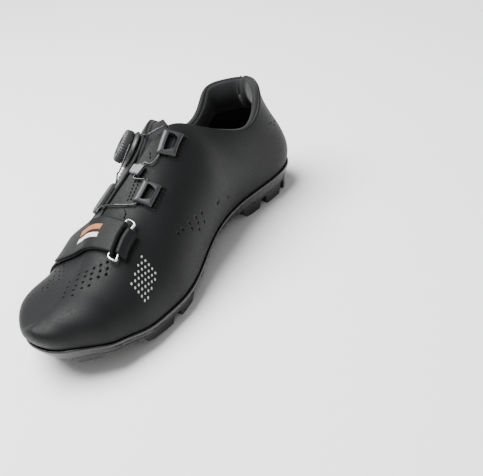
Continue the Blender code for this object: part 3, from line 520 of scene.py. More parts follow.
def lift_of(side, t, depth, arch):
    """How far the leather stands off the last: edges, soft creases and the feather line."""
    edge = np.clip(depth / EDGE_ROUND, 0, 1)
    rounding = EDGE_ROUND * (1 - np.sqrt(1 - (1 - edge) ** 2))
    lift = -rounding * np.clip((station(SLOT_END) - t) / 0.01, 0, 1)[:, None]
    along = along_at(t)[:, None]
    for which, middle, distance, reach, wide, height in CREASES:
        if which == side:
            form = ((along - middle) / reach) ** 2 + ((depth - distance) / wide) ** 2
            lift = lift + height * np.exp(-form)
    foot = np.clip((arch[:, None] - depth) / 0.0025, 0, 1)
    return lift - 0.00025 * (1 - foot) ** 2


def shell_rows(side, t):
    """Shares v down each arch: close at the edge and above the toe, wider below."""
    total = arch_run(side, t)[1][:, -1]
    near = np.minimum(NEAR_RUN, 0.55 * total)
    start = np.array([0.0, 0.00010, 0.00035, 0.0007, 0.0011])
    rows = []
    for k in range(len(t)):
        close = np.linspace(0.0018, near[k], 54)
        far = np.linspace(near[k], total[k], 40)[1:]
        rows.append(np.concatenate([start, close, far]))
    depth = np.array(rows)
    v = np.array([arch_share(side, np.full(depth.shape[1], t[k]), depth[k]) for k in range(len(t))])
    v[:, 0] = 1.0
    v[:, -1] = 0.0
    return v, depth, total


def toe_room(t):
    """How much of a full inset fits at one station: less at the narrow tip of the toe."""
    return np.minimum(1, 0.35 + 0.65 * (1 - np.asarray(t)) / 0.13)


def punch(side, holes, ts, t, v, depth):
    """Gathers the lattice round each hole into a ring of eight points, and lists its cells."""
    gone = []
    for along, distance in holes:
        i = int(np.clip(np.searchsorted(ts, station(along)), 2, len(ts) - 3))
        if station(along) - ts[i - 1] < ts[i] - station(along):
            i -= 1
        j = int(np.argmin(abs(depth[i] - distance)))
        centre_t = np.array(float(station(along)))
        centre_v = arch_share(side, centre_t, np.array(distance))
        e = 0.002
        middle = skin(side, centre_t, centre_v)
        step_t = (skin(side, centre_t + e, centre_v) - middle) / e
        step_v = (skin(side, centre_t, centre_v + e) - middle) / e
        first = unit(step_t)
        second = unit(step_v - first * (step_v @ first))
        for k, (di, dj) in enumerate(AROUND):
            angle = k * math.pi / 4
            target = (first * math.cos(angle) + second * math.sin(angle)) * HOLE
            share = np.linalg.lstsq(np.stack([step_t, step_v], axis=1), target, rcond=None)[0]
            t[i + di, j + dj] = centre_t + share[0]
            v[i + di, j + dj] = centre_v + share[1]
        gone.append((i, j))
    return gone


def shell_stations():
    ts = set(np.linspace(0, 1, 176)) | {float(station(SLOT_END))}
    for back, front, count in ZONES:
        ts |= set(np.linspace(station(back), station(front), count))
    ts = sorted(ts)
    keep = [ts[0]]
    for value in ts[1:]:
        fixed = abs(value - float(station(SLOT_END))) < 1e-9 or value == 1.0
        if value - keep[-1] > ROW_LEAST:
            keep.append(value)
        elif fixed:
            keep[-1] = value
    return np.array(keep)


shell_points = []
shell_faces = []
shell_finish = []
ts = shell_stations()
slot = int(np.argmin(abs(ts - station(SLOT_END))))
for side in (-1, 1):
    v, depth, total = shell_rows(side, ts)
    t = np.repeat(ts[:, None], v.shape[1], axis=1)
    lift = lift_of(side, ts, depth, total)
    holes = list(TOE_HOLES[side]) + list(SIDE_HOLES if side < 0 else ()) + list(HEEL_HOLES)
    cut = punch(side, holes, ts, t, v, depth)
    rows, cols = v.shape
    outer = over(side, t, v, lift)
    pick = list(range(0, 6)) + list(range(8, cols, 4))
    if pick[-1] != cols - 1:
        pick.append(cols - 1)
    edge = np.clip(depth[:, pick] / EDGE_ROUND, 0, 1)
    wall = WALL - EDGE_ROUND * (1 - np.sqrt(1 - (1 - edge) ** 2))
    inner = over(side, t[:, pick] * 0 + ts[:, None], v[:, pick], -wall)
    out = outward(side, ts)
    under_edge = edge_point(side, ts)
    inner[:, -1] = under_edge - out * WALL + UP * (FIT + WALL)
    turned = under_edge - out * (WALL + MARGIN * toe_room(ts)[:, None]) + UP * FIT
    start = len(shell_points)
    shell_points += outer.reshape(-1, 3).tolist()
    faces = quads(rows, cols, start)
    dropped = set()
    for i, j in cut:
        for a in (i - 1, i):
            for b in (j - 1, j):
                dropped.add(a * (cols - 1) + b)
    shell_faces += [f for n, f in enumerate(faces) if n not in dropped]
    shell_finish += [0] * (len(faces) - len(dropped))
    # Each hole gets a wall and a closing cap in finish 1, near black: raw fibre, and painted shade
    # down the hole.
    for i, j in cut:
        ring = [start + (i + a) * cols + (j + b) for a, b in AROUND]
        middle = normal(side, np.array(ts[i]), np.array(min(v[i, j], 0.99)))
        bottom = len(shell_points)
        for n in ring:
            shell_points.append((np.array(shell_points[n]) - middle * HOLE_DEEP).tolist())
        for k in range(8):
            n = (k + 1) % 8
            shell_faces.append([ring[k], ring[n], bottom + n, bottom + k])
            shell_finish.append(1)
        # The cap that closes the hole: a near-black sheet, painted shade in place of the view
        # through the hole.
        shell_faces.append([bottom + k for k in range(8)])
        shell_finish.append(1)
    inside = len(shell_points)
    shell_points += inner.reshape(-1, 3).tolist()
    faces = quads(rows, len(pick), inside)
    shell_faces += faces
    shell_finish += [2] * len(faces)
    under = len(shell_points)
    both = np.stack([turned + UP * WALL, turned], axis=1)
    shell_points += both.reshape(-1, 3).tolist()
    for i in range(rows - 1):
        a = inside + i * len(pick)
        b = a + len(pick)
        c = under + 2 * i
        p = start + i * cols
        shell_faces.append([a + len(pick) - 1, b + len(pick) - 1, c + 2, c])
        shell_faces.append([c, c + 2, c + 3, c + 1])
        shell_faces.append([c + 1, c + 3, p + 2 * cols - 1, p + cols - 1])
        shell_finish += [2, 2, 0]
        if i < slot:
            shell_faces.append([p, p + cols, b, a])
            shell_finish.append(0)

# Coated microfibre, moulded grain: a dry matt black with a fine pebble that breaks up the
# highlight, and cloudy patches where the coat is thinner.
GRAIN = 0.00055
microfibre, tree = finish_of("coated_microfibre")
pebble = spots(tree, GRAIN, feature="SMOOTH_F1")
fine = noise(tree, 0.0011, 4.0)
mixed = add(tree, "Math", {"operation": "ADD", 0: pebble, 1: fine})
surface(tree, {
    "Base Color": blend(tree, noise(tree, 0.030, 3.0), "#0e0f10", "#131415", 0.32, 0.70),
    "Roughness": between(tree, fine, 0.50, 0.62, 0.35, 0.65),
    "Normal": relief(tree, mixed.outputs[0], 0.16, 0.00012),
    "Specular IOR Level": 0.18, "Sheen Weight": 0.02, "Sheen Roughness": 0.5,
})

# Hole wall and cap: the dull raw fibre under the coat, almost black, also painted shade down each
# hole.
raw_fibre_and_hole_shade, tree = finish_of("raw_fibre_and_painted_hole_shade")
surface(tree, {
    "Base Color": blend(tree, noise(tree, 0.0004, 2.0), "#020202", "#090909"),
    "Roughness": 0.95, "Specular IOR Level": 0.1,
})

# Brushed tricot lining: soft, very dark, with a short nap that glows at the edge.
tricot, tree = finish_of("brushed_tricot")
nap = noise(tree, 0.0007, 5.0)
surface(tree, {
    "Base Color": blend(tree, nap, "#060707", "#0d0e0f", 0.3, 0.75), "Roughness": 0.95,
    "Normal": relief(tree, nap, 0.5, 0.0003), "Sheen Weight": 0.08, "Sheen Roughness": 0.6,
})

upper = build(
    "upper_shell", shell_points, shell_faces, [microfibre, raw_fibre_and_hole_shade, tricot],
    face_finish=shell_finish,
)
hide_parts("upper")


# The sole plate: glass-filled nylon, injection moulded, with a thin bright lip that holds
# the upper, a stepped side and a shallow rib under the waist.
TREAD_REACH = 0.014
LIP = 0.0016
LIP_WIDE = 0.0011

# along, underside of the plate, depth of the centre rib, floor line
SOLE = (
    (0.000, 0.112, 0.000, 0.030), (0.041, 0.112, 0.000, 0.006), (0.083, 0.110, 0.000, 0.000),
    (0.207, 0.098, 0.000, 0.000), (0.280, 0.095, 0.012, 0.000), (0.358, 0.091, 0.025, 0.000),
    (0.446, 0.084, 0.018, 0.000), (0.477, 0.080, 0.000, 0.000), (0.725, 0.080, 0.000, 0.000),
    (0.772, 0.082, 0.000, 0.012), (0.819, 0.100, 0.000, 0.036), (0.870, 0.129, 0.000, 0.070),
    (0.914, 0.154, 0.000, 0.098), (0.957, 0.178, 0.000, 0.120), (1.000, 0.184, 0.000, 0.124),
)


def level_curve(rows, column):
    """A curve through one column of a table that never swings past its values."""
    x = station(np.array([row[0] for row in rows]))
    y = np.array([row[column] for row in rows], float)
    rate = np.diff(y) / np.diff(x)
    slope = [rate[0]]
    for before, after in zip(rate, rate[1:]):
        slope.append(2 * before * after / (before + after) if before * after > 0 else 0.0)
    slope = np.array(slope + [rate[-1]])

    def value(t):
        i = np.clip(np.searchsorted(x, t) - 1, 0, len(x) - 2)
        h = x[i + 1] - x[i]
        s = (t - x[i]) / h
        start = (1 + 2 * s) * (1 - s) ** 2 * y[i] + s * (1 - s) ** 2 * h * slope[i]
        end = s * s * (3 - 2 * s) * y[i + 1] + s * s * (s - 1) * h * slope[i + 1]
        return start + end

    return value


UNDER = level_curve(SOLE, 1)
RIB = level_curve(SOLE, 2)
FLOOR = level_curve(SOLE, 3)


def inset(side, t, distance, height):
    """A point inside the sole's outline by a set distance, at a set height."""
    p = edge_point(side, t) - outward(side, t) * distance
    p[..., 2] = height
    return p


def plate_rings(ts):
    rings = []
    for t in ts:
        ring = []
        base = float(SEAT(t)) * HEIGHT
        low = float(UNDER(t)) * HEIGHT
        rib = float(UNDER(t) - RIB(t)) * HEIGHT
        reach = TREAD_REACH * float(toe_room(t))
        middle = (inset(-1, t, reach, low) + inset(1, t, reach, low)) / 2
        for side in (-1, 1):
            lean = math.tan(math.radians(float(FLARE[side](t))))
            lip = FIT + 0.0001 + LIP * lean
            # from the bed over the lip, down the stepped side, to the underside
            half = [
                inset(side, t, -FIT, base),
                inset(side, t, -lip + 0.0001, base + LIP - 0.0003),
                inset(side, t, -lip - 0.0003, base + LIP),
                inset(side, t, -lip - LIP_WIDE + 0.0004, base + LIP - 0.0001),
                inset(side, t, -lip - LIP_WIDE, base + LIP - 0.0006),
                inset(side, t, -lip - LIP_WIDE, base - 0.0002),
                inset(side, t, -lip - LIP_WIDE + 0.0005, base - 0.0010),
                inset(side, t, -0.0002, base - 0.0016),
                inset(side, t, 0.0002, base - 0.0026),
                inset(side, t, 0.0006, (base + low) / 2),
                inset(side, t, 0.0008, low + 0.0012),
                inset(side, t, 0.0012, low + 0.0003),
                inset(side, t, 0.0020, low),
            ]
            far = inset(side, t, reach, low)
            for share, height in ((0.0, low), (0.45, low), (0.52, (low + rib) / 2), (0.60, rib)):
                p = far * (1 - share) + middle * share
                p[2] = height
                half.append(p)
            ring += half if side < 0 else half[::-1]
        rings.append(ring)
    return np.array(rings)


def loft(name, rings, finish, smooth=True):
    """A closed body swept through rings of points."""
    rings = np.asarray(rings)
    rows, cols = rings.shape[:2]
    faces = quads(rows, cols, round_cols=True)
    faces += [list(range(cols)), list(range((rows - 1) * cols, rows * cols))]
    return build(name, rings.reshape(-1, 3), faces, finish, smooth)


# Glass-filled nylon straight from the mould: deep black with a clear satin gloss that is
# broken by faint flow marks.
nylon, tree = finish_of("glass_filled_nylon")
flow = noise(tree, 0.012, 3.0)
surface(tree, {
    "Base Color": blend(tree, flow, "#0b0b0c", "#151516"),
    "Roughness": between(tree, flow, 0.20, 0.34),
    "Normal": relief(tree, noise(tree, 0.0006, 2.0), 0.10, 0.0001),
    "IOR": 1.53, "Coat Weight": 0.15, "Coat Roughness": 0.2,
})

plate = loft("sole_plate", plate_rings(np.linspace(0, 1, 181)), nylon)
crisp(plate, 50)
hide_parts("outsole")


# The treads: two long strips of black rubber bonded under the plate, one on each side,
# with raised blocks that reach the floor at the heel and at the ball.
RAIL = 0.0012
DRAFT = 0.0016
STRIP_SET = 0.0018
STRIP_ROUND = 0.0005
ROW_MOST = 0.008

# along, reach of the block to the floor, width of the strip
FORE_TREAD = (
    (0.5130, 0.00, 0.070), (0.5347, 0.00, 0.080), (0.5389, 0.45, 0.080), (0.5554, 0.45, 0.085),
    (0.5596, 0.00, 0.090), (0.6238, 0.00, 0.120), (0.6342, 1.00, 0.150), (0.6922, 1.00, 0.155),
    (0.7005, 0.00, 0.130), (0.7223, 0.00, 0.130), (0.7306, 1.00, 0.165), (0.8212, 1.00, 0.165),
    (0.8325, 0.00, 0.080), (0.9320, 0.00, 0.080), (0.9400, 1.00, 0.120), (0.9780, 1.00, 0.110),
    (0.9860, 0.10, 0.080),
)
HEEL_TREAD = (
    (0.0062, 0.25, 0.090), (0.0145, 1.00, 0.110), (0.0829, 1.00, 0.150), (0.0912, 0.00, 0.130),
    (0.1088, 0.00, 0.130), (0.1171, 1.00, 0.150), (0.1762, 1.00, 0.150), (0.1845, 0.00, 0.120),
    (0.2021, 0.00, 0.115), (0.2104, 1.00, 0.135), (0.2591, 1.00, 0.120), (0.2746, 0.00, 0.080),
)

# Moulded tread rubber: black with a soft, slightly greasy sheen and a fine texture.
rubber, tree = finish_of("moulded_tread_rubber")
worn = noise(tree, 0.010, 3.0)
surface(tree, {
    "Base Color": blend(tree, worn, "#101011", "#1d1d1e"),
    "Roughness": between(tree, worn, 0.34, 0.52),
    "Normal": relief(tree, noise(tree, 0.0008, 4.0), 0.25, 0.0001), "IOR": 1.52,
})


def spread_rows(rows, gap):
    """The rows of a table with more rows between those far apart."""
    out = []
    for a, b in zip(rows, rows[1:]):
        pieces = max(1, math.ceil((b[0] - a[0]) / gap))
        for k in range(pieces):
            out.append(tuple(a[n] + (b[n] - a[n]) * k / pieces for n in range(len(a))))
    return out + [rows[-1]]


def strip(name, side, rows, node):
    rings = []
    for along, reach, wide in spread_rows(rows, ROW_MOST):
        t = float(station(along))
        top = float(UNDER(t)) * HEIGHT - FIT
        rail = top - RAIL
        floor_line = float(FLOOR(t)) * HEIGHT
        low = rail + (floor_line - rail) * reach
        draft = DRAFT * reach
        far = STRIP_SET + wide * BALL_WIDTH
        rings.append([
            inset(side, t, STRIP_SET, top), inset(side, t, far, top),
            inset(side, t, far - draft, low), inset(side, t, STRIP_SET + draft, low),
        ])
    made = loft(name, rings, rubber, smooth=False)
    soft = made.modifiers.new("moulded_edge", "BEVEL")
    soft.width = STRIP_ROUND
    soft.segments = 3
    soft.angle_limit = math.radians(28)
    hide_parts(node)
    return made


for side, where in ((-1, "inner"), (1, "outer")):
    strip(f"fore_tread_{where}", side, FORE_TREAD, f"tread_fore_{where}")
    strip(f"heel_tread_{where}", side, HEEL_TREAD, f"tread_heel_{where}")


# The hardware under the foot: a recessed plate with two slots for the cleat's bolts, four
# threaded steel rounds in them, and a brass insert for a stud at each side of the toe.
# Turned and nickelled steel: bright, with fine scratches.
steel, tree = finish_of("nickelled_steel")
scratch = noise(tree, 0.0005, 3.0)
surface(tree, {
    "Base Color": shade("#cfd0d1"), "Metallic": 1.0,
    "Roughness": between(tree, scratch, 0.16, 0.30, 0.0, 1.0),
    "Normal": relief(tree, scratch, 0.06, 0.0001),
})

# Turned brass, a little dulled: warm yellow with darker patches.
brass, tree = finish_of("turned_brass")
surface(tree, {
    "Base Color": blend(tree, noise(tree, 0.002, 3.0), "#9a7440", "#d0a566"),
    "Metallic": 1.0, "Roughness": 0.30,
})

# The recessed plate has a diagonal ribbed texture so that the cleat bites into it.
CLEAT_RIBS = 0.0016
ribbed, tree = finish_of("ribbed_nylon")
place = add(tree, "TexCoord", {}).outputs["Object"]
slanted = add(tree, "Mapping", {"Vector": place, "Rotation": (0, 0, math.radians(45))})
ribs = add(tree, "TexWave", {
    "Vector": slanted.outputs[0], "Scale": 0.5 / CLEAT_RIBS, "Distortion": 0.0,
})
surface(tree, {
    "Base Color": shade("#121213"), "Roughness": 0.42,
    "Normal": relief(tree, ribs.outputs["Fac"], 0.8, 0.0004),
})

CAD_FINISHES = {
    "cleat_plate": ribbed, "cleat_nut_inner_rear": steel, "cleat_nut_inner_front": steel,
    "cleat_nut_outer_rear": steel, "cleat_nut_outer_front": steel,
    "toe_stud_inner_boss": rubber, "toe_stud_outer_boss": rubber,
    "toe_stud_inner_insert": brass, "toe_stud_outer_insert": brass,
}
for name, finish in CAD_FINISHES.items():
    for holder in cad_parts[name].material_slots:
        holder.material = finish


# The collar lining: foam under brushed knit, sewn at the top line and rolled inward round
# the heel. A thin rolled edge of the same cloth closes the top line and the throat.
PAD_DEEP = 0.027
PAD_THICK = 0.0060
PAD_FRONT = 0.409


def two_layers(name, us, vs, place, finish, node=None, hole=None, smooth=True):
    """A sheet of two layers over a lattice, walled at its rim and round its holes."""
    u, v = np.meshgrid(np.asarray(us, float), np.asarray(vs, float), indexing="ij")
    rows, cols = u.shape
    points = np.concatenate([place(u, v, 0).reshape(-1, 3), place(u, v, 1).reshape(-1, 3)])
    offset = rows * cols
    faces = []

    def present(i, j):
        if not (0 <= i < rows - 1 and 0 <= j < cols - 1):
            return False
        return hole is None or not hole(i, j)

    for i in range(rows - 1):
        for j in range(cols - 1):
            if not present(i, j):
                continue
            a = i * cols + j
            cell = [a, a + cols, a + cols + 1, a + 1]
            faces.append(cell)
            faces.append([k + offset for k in cell])
            walls = (((i - 1, j), 0, 3), ((i + 1, j), 1, 2), ((i, j - 1), 0, 1), ((i, j + 1), 3, 2))
            for beyond, p, q in walls:
                if not present(*beyond):
                    faces.append([cell[p], cell[q], cell[q] + offset, cell[p] + offset])
    made = build(name, points, faces, finish, smooth)
    if node:
        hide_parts(node)
    return made


def both_sides(signed, distance, lift):
    """Points off the upper for stations that are negative on the inner side."""
    signed, distance, lift = np.broadcast_arrays(signed, distance, lift)
    t = abs(signed)
    result = None
    for side in (-1, 1):
        p = over(side, t, arch_share(side, t, distance), lift)
        here = (signed < 0) if side < 0 else (signed >= 0)
        result = p * here[..., None] if result is None else result + p * here[..., None]
    return result


# Brushed knit over foam: charcoal, dry, with a short fuzz that catches light at its rim.
fleece, tree = finish_of("brushed_knit")
fuzz = noise(tree, 0.0009, 6.0, Roughness=0.7)
both = add(tree, "Math", {"operation": "ADD", 0: fuzz, 1: noise(tree, 0.006, 3.0)})
spread = between(tree, both.outputs[0], 0.0, 1.0, 0.6, 1.4)
surface(tree, {
    "Base Color": blend(tree, spread, "#08090a", "#191b1d"), "Roughness": 0.95,
    "Normal": relief(tree, fuzz, 0.7, 0.0005), "Sheen Weight": 0.12, "Sheen Roughness": 0.5,
})

pad_turn = np.linspace(0, float(station(PAD_FRONT)), 44)
pad_us = np.concatenate([-pad_turn[:0:-1], pad_turn])


def pad_place(u, v, layer):
    t = abs(u)
    ends = np.minimum(1, (float(station(PAD_FRONT)) - t) / 0.05 + 0.25)
    swell = 0.25 + 0.75 * np.sin(np.pi * np.minimum(v * 0.9 + 0.12, 1)) ** 0.8
    ripple = 1 + 0.06 * np.sin(t * 61 + 2 * v)
    thick = PAD_THICK * swell * ends * ripple
    return both_sides(u, 0.0004 + v * PAD_DEEP, -WALL - FIT * 2 - (0 if layer else 1) * thick)


pad = two_layers("collar_lining", pad_us, np.linspace(0, 1, 20), pad_place, fleece, "collar_pad")


def tube(path, radius, sides=8, closed=False):
    """Points and faces of a round cord along a path, with flat or pointed ends."""
    path = np.asarray(path, float)
    count = len(path)
    if closed:
        heading = unit(np.roll(path, -1, axis=0) - np.roll(path, 1, axis=0))
    else:
        heading = unit(np.gradient(path, axis=0))
    radius = np.broadcast_to(np.asarray(radius, float), (count,))
    side = np.cross(heading[0], UP)
    if np.linalg.norm(side) < 0.1:
        side = np.cross(heading[0], [1.0, 0.0, 0.0])
    rings = []
    for k in range(count):
        side = unit(side - heading[k] * (side @ heading[k]))
        other = np.cross(heading[k], side)
        angle = np.arange(sides) * 2 * np.pi / sides
        rings.append(path[k] + radius[k] * (
            np.cos(angle)[:, None] * side + np.sin(angle)[:, None] * other))
    faces = quads(count, sides, round_rows=closed, round_cols=True)
    if not closed:
        faces += [list(range(sides)), list(range((count - 1) * sides, count * sides))]
    return np.concatenate(rings), faces


def joined(parts):
    """Several sets of points and faces as one."""
    points = []
    faces = []
    start = 0
    for some, cells in parts:
        points.append(some)
        faces += [[k + start for k in cell] for cell in cells]
        start += len(some)
    return np.concatenate(points), faces


ROLL_FRONT = 0.554
roll_t = np.linspace(0, float(station(ROLL_FRONT)), 90)
roll_u = np.concatenate([-roll_t[:0:-1], roll_t])
roll_path = both_sides(roll_u, 0.0006, -WALL - 0.0010)
thin = np.clip((float(station(ROLL_FRONT)) - abs(roll_u)) / 0.02, 0.3, 1)
roll = build("topline_roll", *tube(roll_path, 0.0016 * thin, 12), tricot, weld=0)


# The tongue: a padded sheet of knit and foam under both edges of the throat, free at its
# top, where it stands a little over the collar.
TUCK = 0.0009
TONGUE_WIDE = 0.046
TONGUE_THICK = 0.0052
TONGUE_RISE = 0.006
COLLAR_FRONT = 0.456


def face_at(along, reach, lift):
    """A point off the upper, and off the gap of the throat, by distance from its middle."""
    along, reach, lift = np.broadcast_arrays(
        np.asarray(along, float), np.asarray(reach, float), np.asarray(lift, float))
    t = station(along)
    ones = np.ones_like(t)
    tops = [over(s, t, ones, lift) for s in (-1, 1)]
    gap = np.linalg.norm(top_point(1, t) - top_point(-1, t), axis=-1) / 2
    share = ((np.clip(reach / (gap + 1e-9), -1, 1) + 1) / 2)[..., None]
    result = tops[0] * (1 - share) + tops[1] * share
    for side in (-1, 1):
        out = reach * side > gap + 1e-9
        if out.any():
            p = over(side, t, arch_share(side, t, np.maximum(abs(reach) - gap, 0)), lift)
            result = np.where(out[..., None], p, result)
    return result


def tongue_place(u, w, layer):
    back = COLLAR_FRONT - TONGUE_RISE / LENGTH
    seam = 0.12 * np.exp(-((abs(w) - 0.72) / 0.05) ** 2) + 0.10 * np.exp(-((w) / 0.05) ** 2)
    thin = 1 - 0.65 * abs(w) ** 3 - seam
    tip = np.clip(0.45 + (u - back) / 0.02, 0, 1)
    thin = thin * tip
    lift = -WALL - TUCK - (0 if layer else 1) * TONGUE_THICK * thin
    lift = lift - (TONGUE_THICK * 0.25 * (1 - tip) if layer else 0)
    p = face_at(u, w * TONGUE_WIDE / 2, lift)
    t = station(u)
    gap = np.linalg.norm(top_point(1, t) - top_point(-1, t), axis=-1) / 2
    rearward = unit((top_point(-1, t) - top_point(-1, station(u + 0.04))) * [0.0, 1.0, 1.0])
    free = np.maximum(0, 1 - abs(w * TONGUE_WIDE / 2) / gap)
    rise = np.where(u < COLLAR_FRONT, (COLLAR_FRONT - u) * LENGTH * free * 0.5, 0)
    return p + (rearward + UP) * rise[..., None]


tongue_us = np.concatenate([
    COLLAR_FRONT - TONGUE_RISE / LENGTH * np.linspace(1, 0, 8), np.linspace(0.460, 0.736, 60),
])
tongue = two_layers(
    "tongue_pad", tongue_us, np.linspace(-1, 1, 49), tongue_place, fleece, "tongue")


# The insole: a moulded foam sheet with a knitted cover, loose inside on the turned-in
# margin of the upper.
INSOLE = 0.0040
insole_rings = []
for t in np.linspace(0, 1, 90):
    base = float(SEAT(t)) * HEIGHT + FIT
    high = base + WALL + FIT
    reach = MARGIN * float(toe_room(t))
    ring = []
    for side in (-1, 1):
        half = [
            inset(side, t, WALL + reach + FIT * 2, base),
            inset(side, t, WALL + reach + FIT * 2, high),
            inset(side, t, WALL + 0.0014, high),
            inset(side, t, WALL + 0.0010, high + INSOLE * 0.55),
            inset(side, t, WALL + 0.0014, high + INSOLE * 0.9),
            inset(side, t, WALL + 0.0022, high + INSOLE),
            inset(side, t, WALL + reach * 0.6, high + INSOLE * 0.92),
            inset(side, t, WALL + reach, high + INSOLE * 0.85),
        ]
        ring += half if side < 0 else half[::-1]
    insole_rings.append(ring)
insole = loft("insole_sheet", insole_rings, tricot)
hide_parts("insole")


# The forefoot strap: two layers of microfibre sewn together, from the outer side over the
# foot, through the ring and back on itself, where hook-and-loop pile holds it.
STRAP_THICK = 0.0014
STRAP_LIFT = 0.0011
STRAP_BACK = 0.704
STRAP_FRONT = 0.780
STRAP_OUTER = 0.058
STRAP_TIP = 0.034
RING_AT = 0.0250
RING_GAP = 0.0056
RING_WIRE = 0.0016
RING_PLAY = 0.0003
RING_PAST = 0.007
RING_ROUND = 0.0030
TAB_REACH = 0.0056
TAB_SHORT = 0.006
LOOP_RUN = 0.0100


def band(name, side, start, turn_at, back_to, run, wide_loop, finish, stations, node, steps=40):
    """A strip that follows the upper, turns round a bar and comes back over itself."""
    reach = [(0, start + (turn_at - start) * k / (steps - 1)) for k in range(steps)]
    reach += [(1, k / 10) for k in range(1, 10)]
    reach += [(2, turn_at + (back_to - turn_at) * k / (steps - 1)) for k in range(steps)]
    kind = np.array([r[0] for r in reach])
    value = np.array([r[1] for r in reach])
    low = STRAP_LIFT
    high_lift = low + STRAP_THICK + FIT

    def rise(distance):
        near = np.maximum(0, 1 - abs(distance - turn_at) / run)
        return high_lift + (wide_loop - STRAP_THICK - FIT) * near**1.5

    def place(u, t, layer):
        k = u.astype(int)
        rim = np.minimum((t - t.min()), (t.max() - t)) / (t.max() - t.min())
        soft = np.clip(rim / 0.05, 0, 1) ** 0.5 * 0.35 + 0.65
        half = STRAP_THICK / 2 * (1 if layer else -1) * soft
        middle = low + STRAP_THICK / 2
        top = float(rise(turn_at)) + STRAP_THICK / 2
        radius = (top - middle) / 2 - half
        angle = np.pi * value[k]
        distance = np.where(kind[k] == 1, turn_at + side * radius * np.sin(angle), value[k])
        lift = np.where(
            kind[k] == 0, middle + half,
            np.where(kind[k] == 2, rise(value[k]) + STRAP_THICK / 2 - half,
                     (middle + top) / 2 - radius * np.cos(angle)))
        signed = np.where(distance < 0, -t, t)
        return both_sides(signed, abs(distance), lift)

    return two_layers(name, np.arange(len(reach)), stations, place, finish, node)


loop = RING_WIRE + STRAP_THICK + RING_PLAY * 2
strap_t = np.linspace(float(station(STRAP_BACK)), float(station(STRAP_FRONT)), 26)
strap = band("strap_band", -1, STRAP_OUTER, -RING_AT, STRAP_TIP, LOOP_RUN, loop, microfibre,
             strap_t, "forefoot_strap", 60)
tab_t = np.linspace(
    float(station(STRAP_BACK + TAB_SHORT)), float(station(STRAP_FRONT - TAB_SHORT)), 16)
tab_bar = -RING_AT - RING_GAP
tab = band("tab_band", 1, tab_bar - TAB_REACH, tab_bar, tab_bar - TAB_REACH * 0.92,
           TAB_REACH * 0.85, loop, microfibre, tab_t, "ring_tab", 16)

# Screen print on the strap: two plain bars of dull ink, one rust brown and one chalk white.
PRINT = 0.00012
PRINT_LIFT = STRAP_LIFT + STRAP_THICK * 2 + FIT
PRINT_REACH = (-0.0130, 0.0090)

# along at the middle of the bar, width of the bar, colour at its worn and its full patches
BARS = ((0.7300, 0.0036, "#6b3d1f", "#a8663a"), (0.7490, 0.0032, "#9b9b99", "#dcdcd9"))
for number, (middle, wide, worn_ink, full_ink) in enumerate(BARS):
    ink, tree = finish_of(f"screen_ink_{number}")
    worn_patches = blend(tree, noise(tree, 0.0006, 3.0), worn_ink, full_ink, 0.35, 0.50)
    surface(tree, {"Base Color": worn_patches, "Roughness": 0.6})
    half = wide / 2 / LENGTH

    def bar_place(u, v, layer):
        t = station(middle + v * half)
        return both_sides(np.where(u < 0, -t, t), abs(u), PRINT_LIFT + layer * PRINT)

    bar = two_layers(f"strap_print_{number}", np.linspace(*PRINT_REACH, 24), np.linspace(-1, 1, 5),
                     bar_place, ink)

ring_lift = STRAP_LIFT + STRAP_THICK + RING_PLAY + RING_WIRE / 2
ring_back = float(station(STRAP_BACK - RING_PAST))
ring_front = float(station(STRAP_FRONT + RING_PAST))
corners = []
for start, end, way, far in ((ring_back, ring_front, 1, 0), (ring_front, ring_back, -1, 1)):
    corners += [(t, RING_AT + RING_GAP * far) for t in np.linspace(start, end, 30)]
    for k in range(1, 8):
        angle = np.pi * k / 8
        across = RING_AT + RING_GAP / 2 * (1 - way * math.cos(angle))
        corners.append((end + way * RING_ROUND * math.sin(angle), across))
ring_path = both_sides(
    np.array([-c[0] for c in corners]), np.array([c[1] for c in corners]), ring_lift)
ring = build("ring_wire", *tube(ring_path, RING_WIRE / 2, 12, closed=True), steel, weld=0)
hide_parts("strap_ring")


# The lace guides: three nylon frames, each on a webbing tab sewn to the upper. The lace
# runs in a channel under the bar that faces the throat.
GUIDE_LONG = 0.0165
GUIDE_WIDE = 0.0120
GUIDE_TALL = 0.0032
CHANNEL = 0.0026
CHANNEL_TALL = 0.0020
CHANNEL_AT = -0.0043
CHANNEL_SIDE = 0.0008
GUIDE_ROUND = 0.002
WINDOW_LONG = 0.74
WINDOW_WIDE = 0.60

# name, side, along, distance down the arch, turn in degrees
GUIDES = (
    ("guide_inner_upper", -1, 0.486, 0.0116, 22),
    ("guide_inner_lower", -1, 0.610, 0.0215, 14),
    ("guide_outer_lower", 1, 0.634, 0.0110, 6),
)
HOOK = ("lace_hook", -1, 0.571, 0.0050, 0)
HOOK_LONG = 0.0075
HOOK_IN = 0.0036
HOOK_OUT = -0.0042
HOOK_LIFT = 0.0010
HOOK_THICK = 0.0016
HOOK_ROUND = 0.0012

# Grained nylon: dark grey, evenly dull, a shade lighter than the leather.
guide_nylon, tree = finish_of("grained_nylon")
surface(tree, {
    "Base Color": blend(tree, noise(tree, 0.004, 2.0), "#1f2021", "#2c2d2f"),
    "Roughness": 0.46, "Normal": relief(tree, noise(tree, 0.0005, 3.0), 0.2, 0.0001), "IOR": 1.53,
})


def on_guide(row, ahead, across, lift):
    """A point off the upper in a guide's own directions."""
    name, side, along, distance, turned_by = row
    c = math.cos(math.radians(turned_by))
    s = math.sin(math.radians(turned_by))
    here = along + (ahead * c - across * s) / LENGTH
    t = station(here)
    gap = np.linalg.norm(top_point(1, t) - top_point(-1, t), axis=-1) / 2
    return face_at(here, side * (gap + distance + ahead * s + across * c), lift)


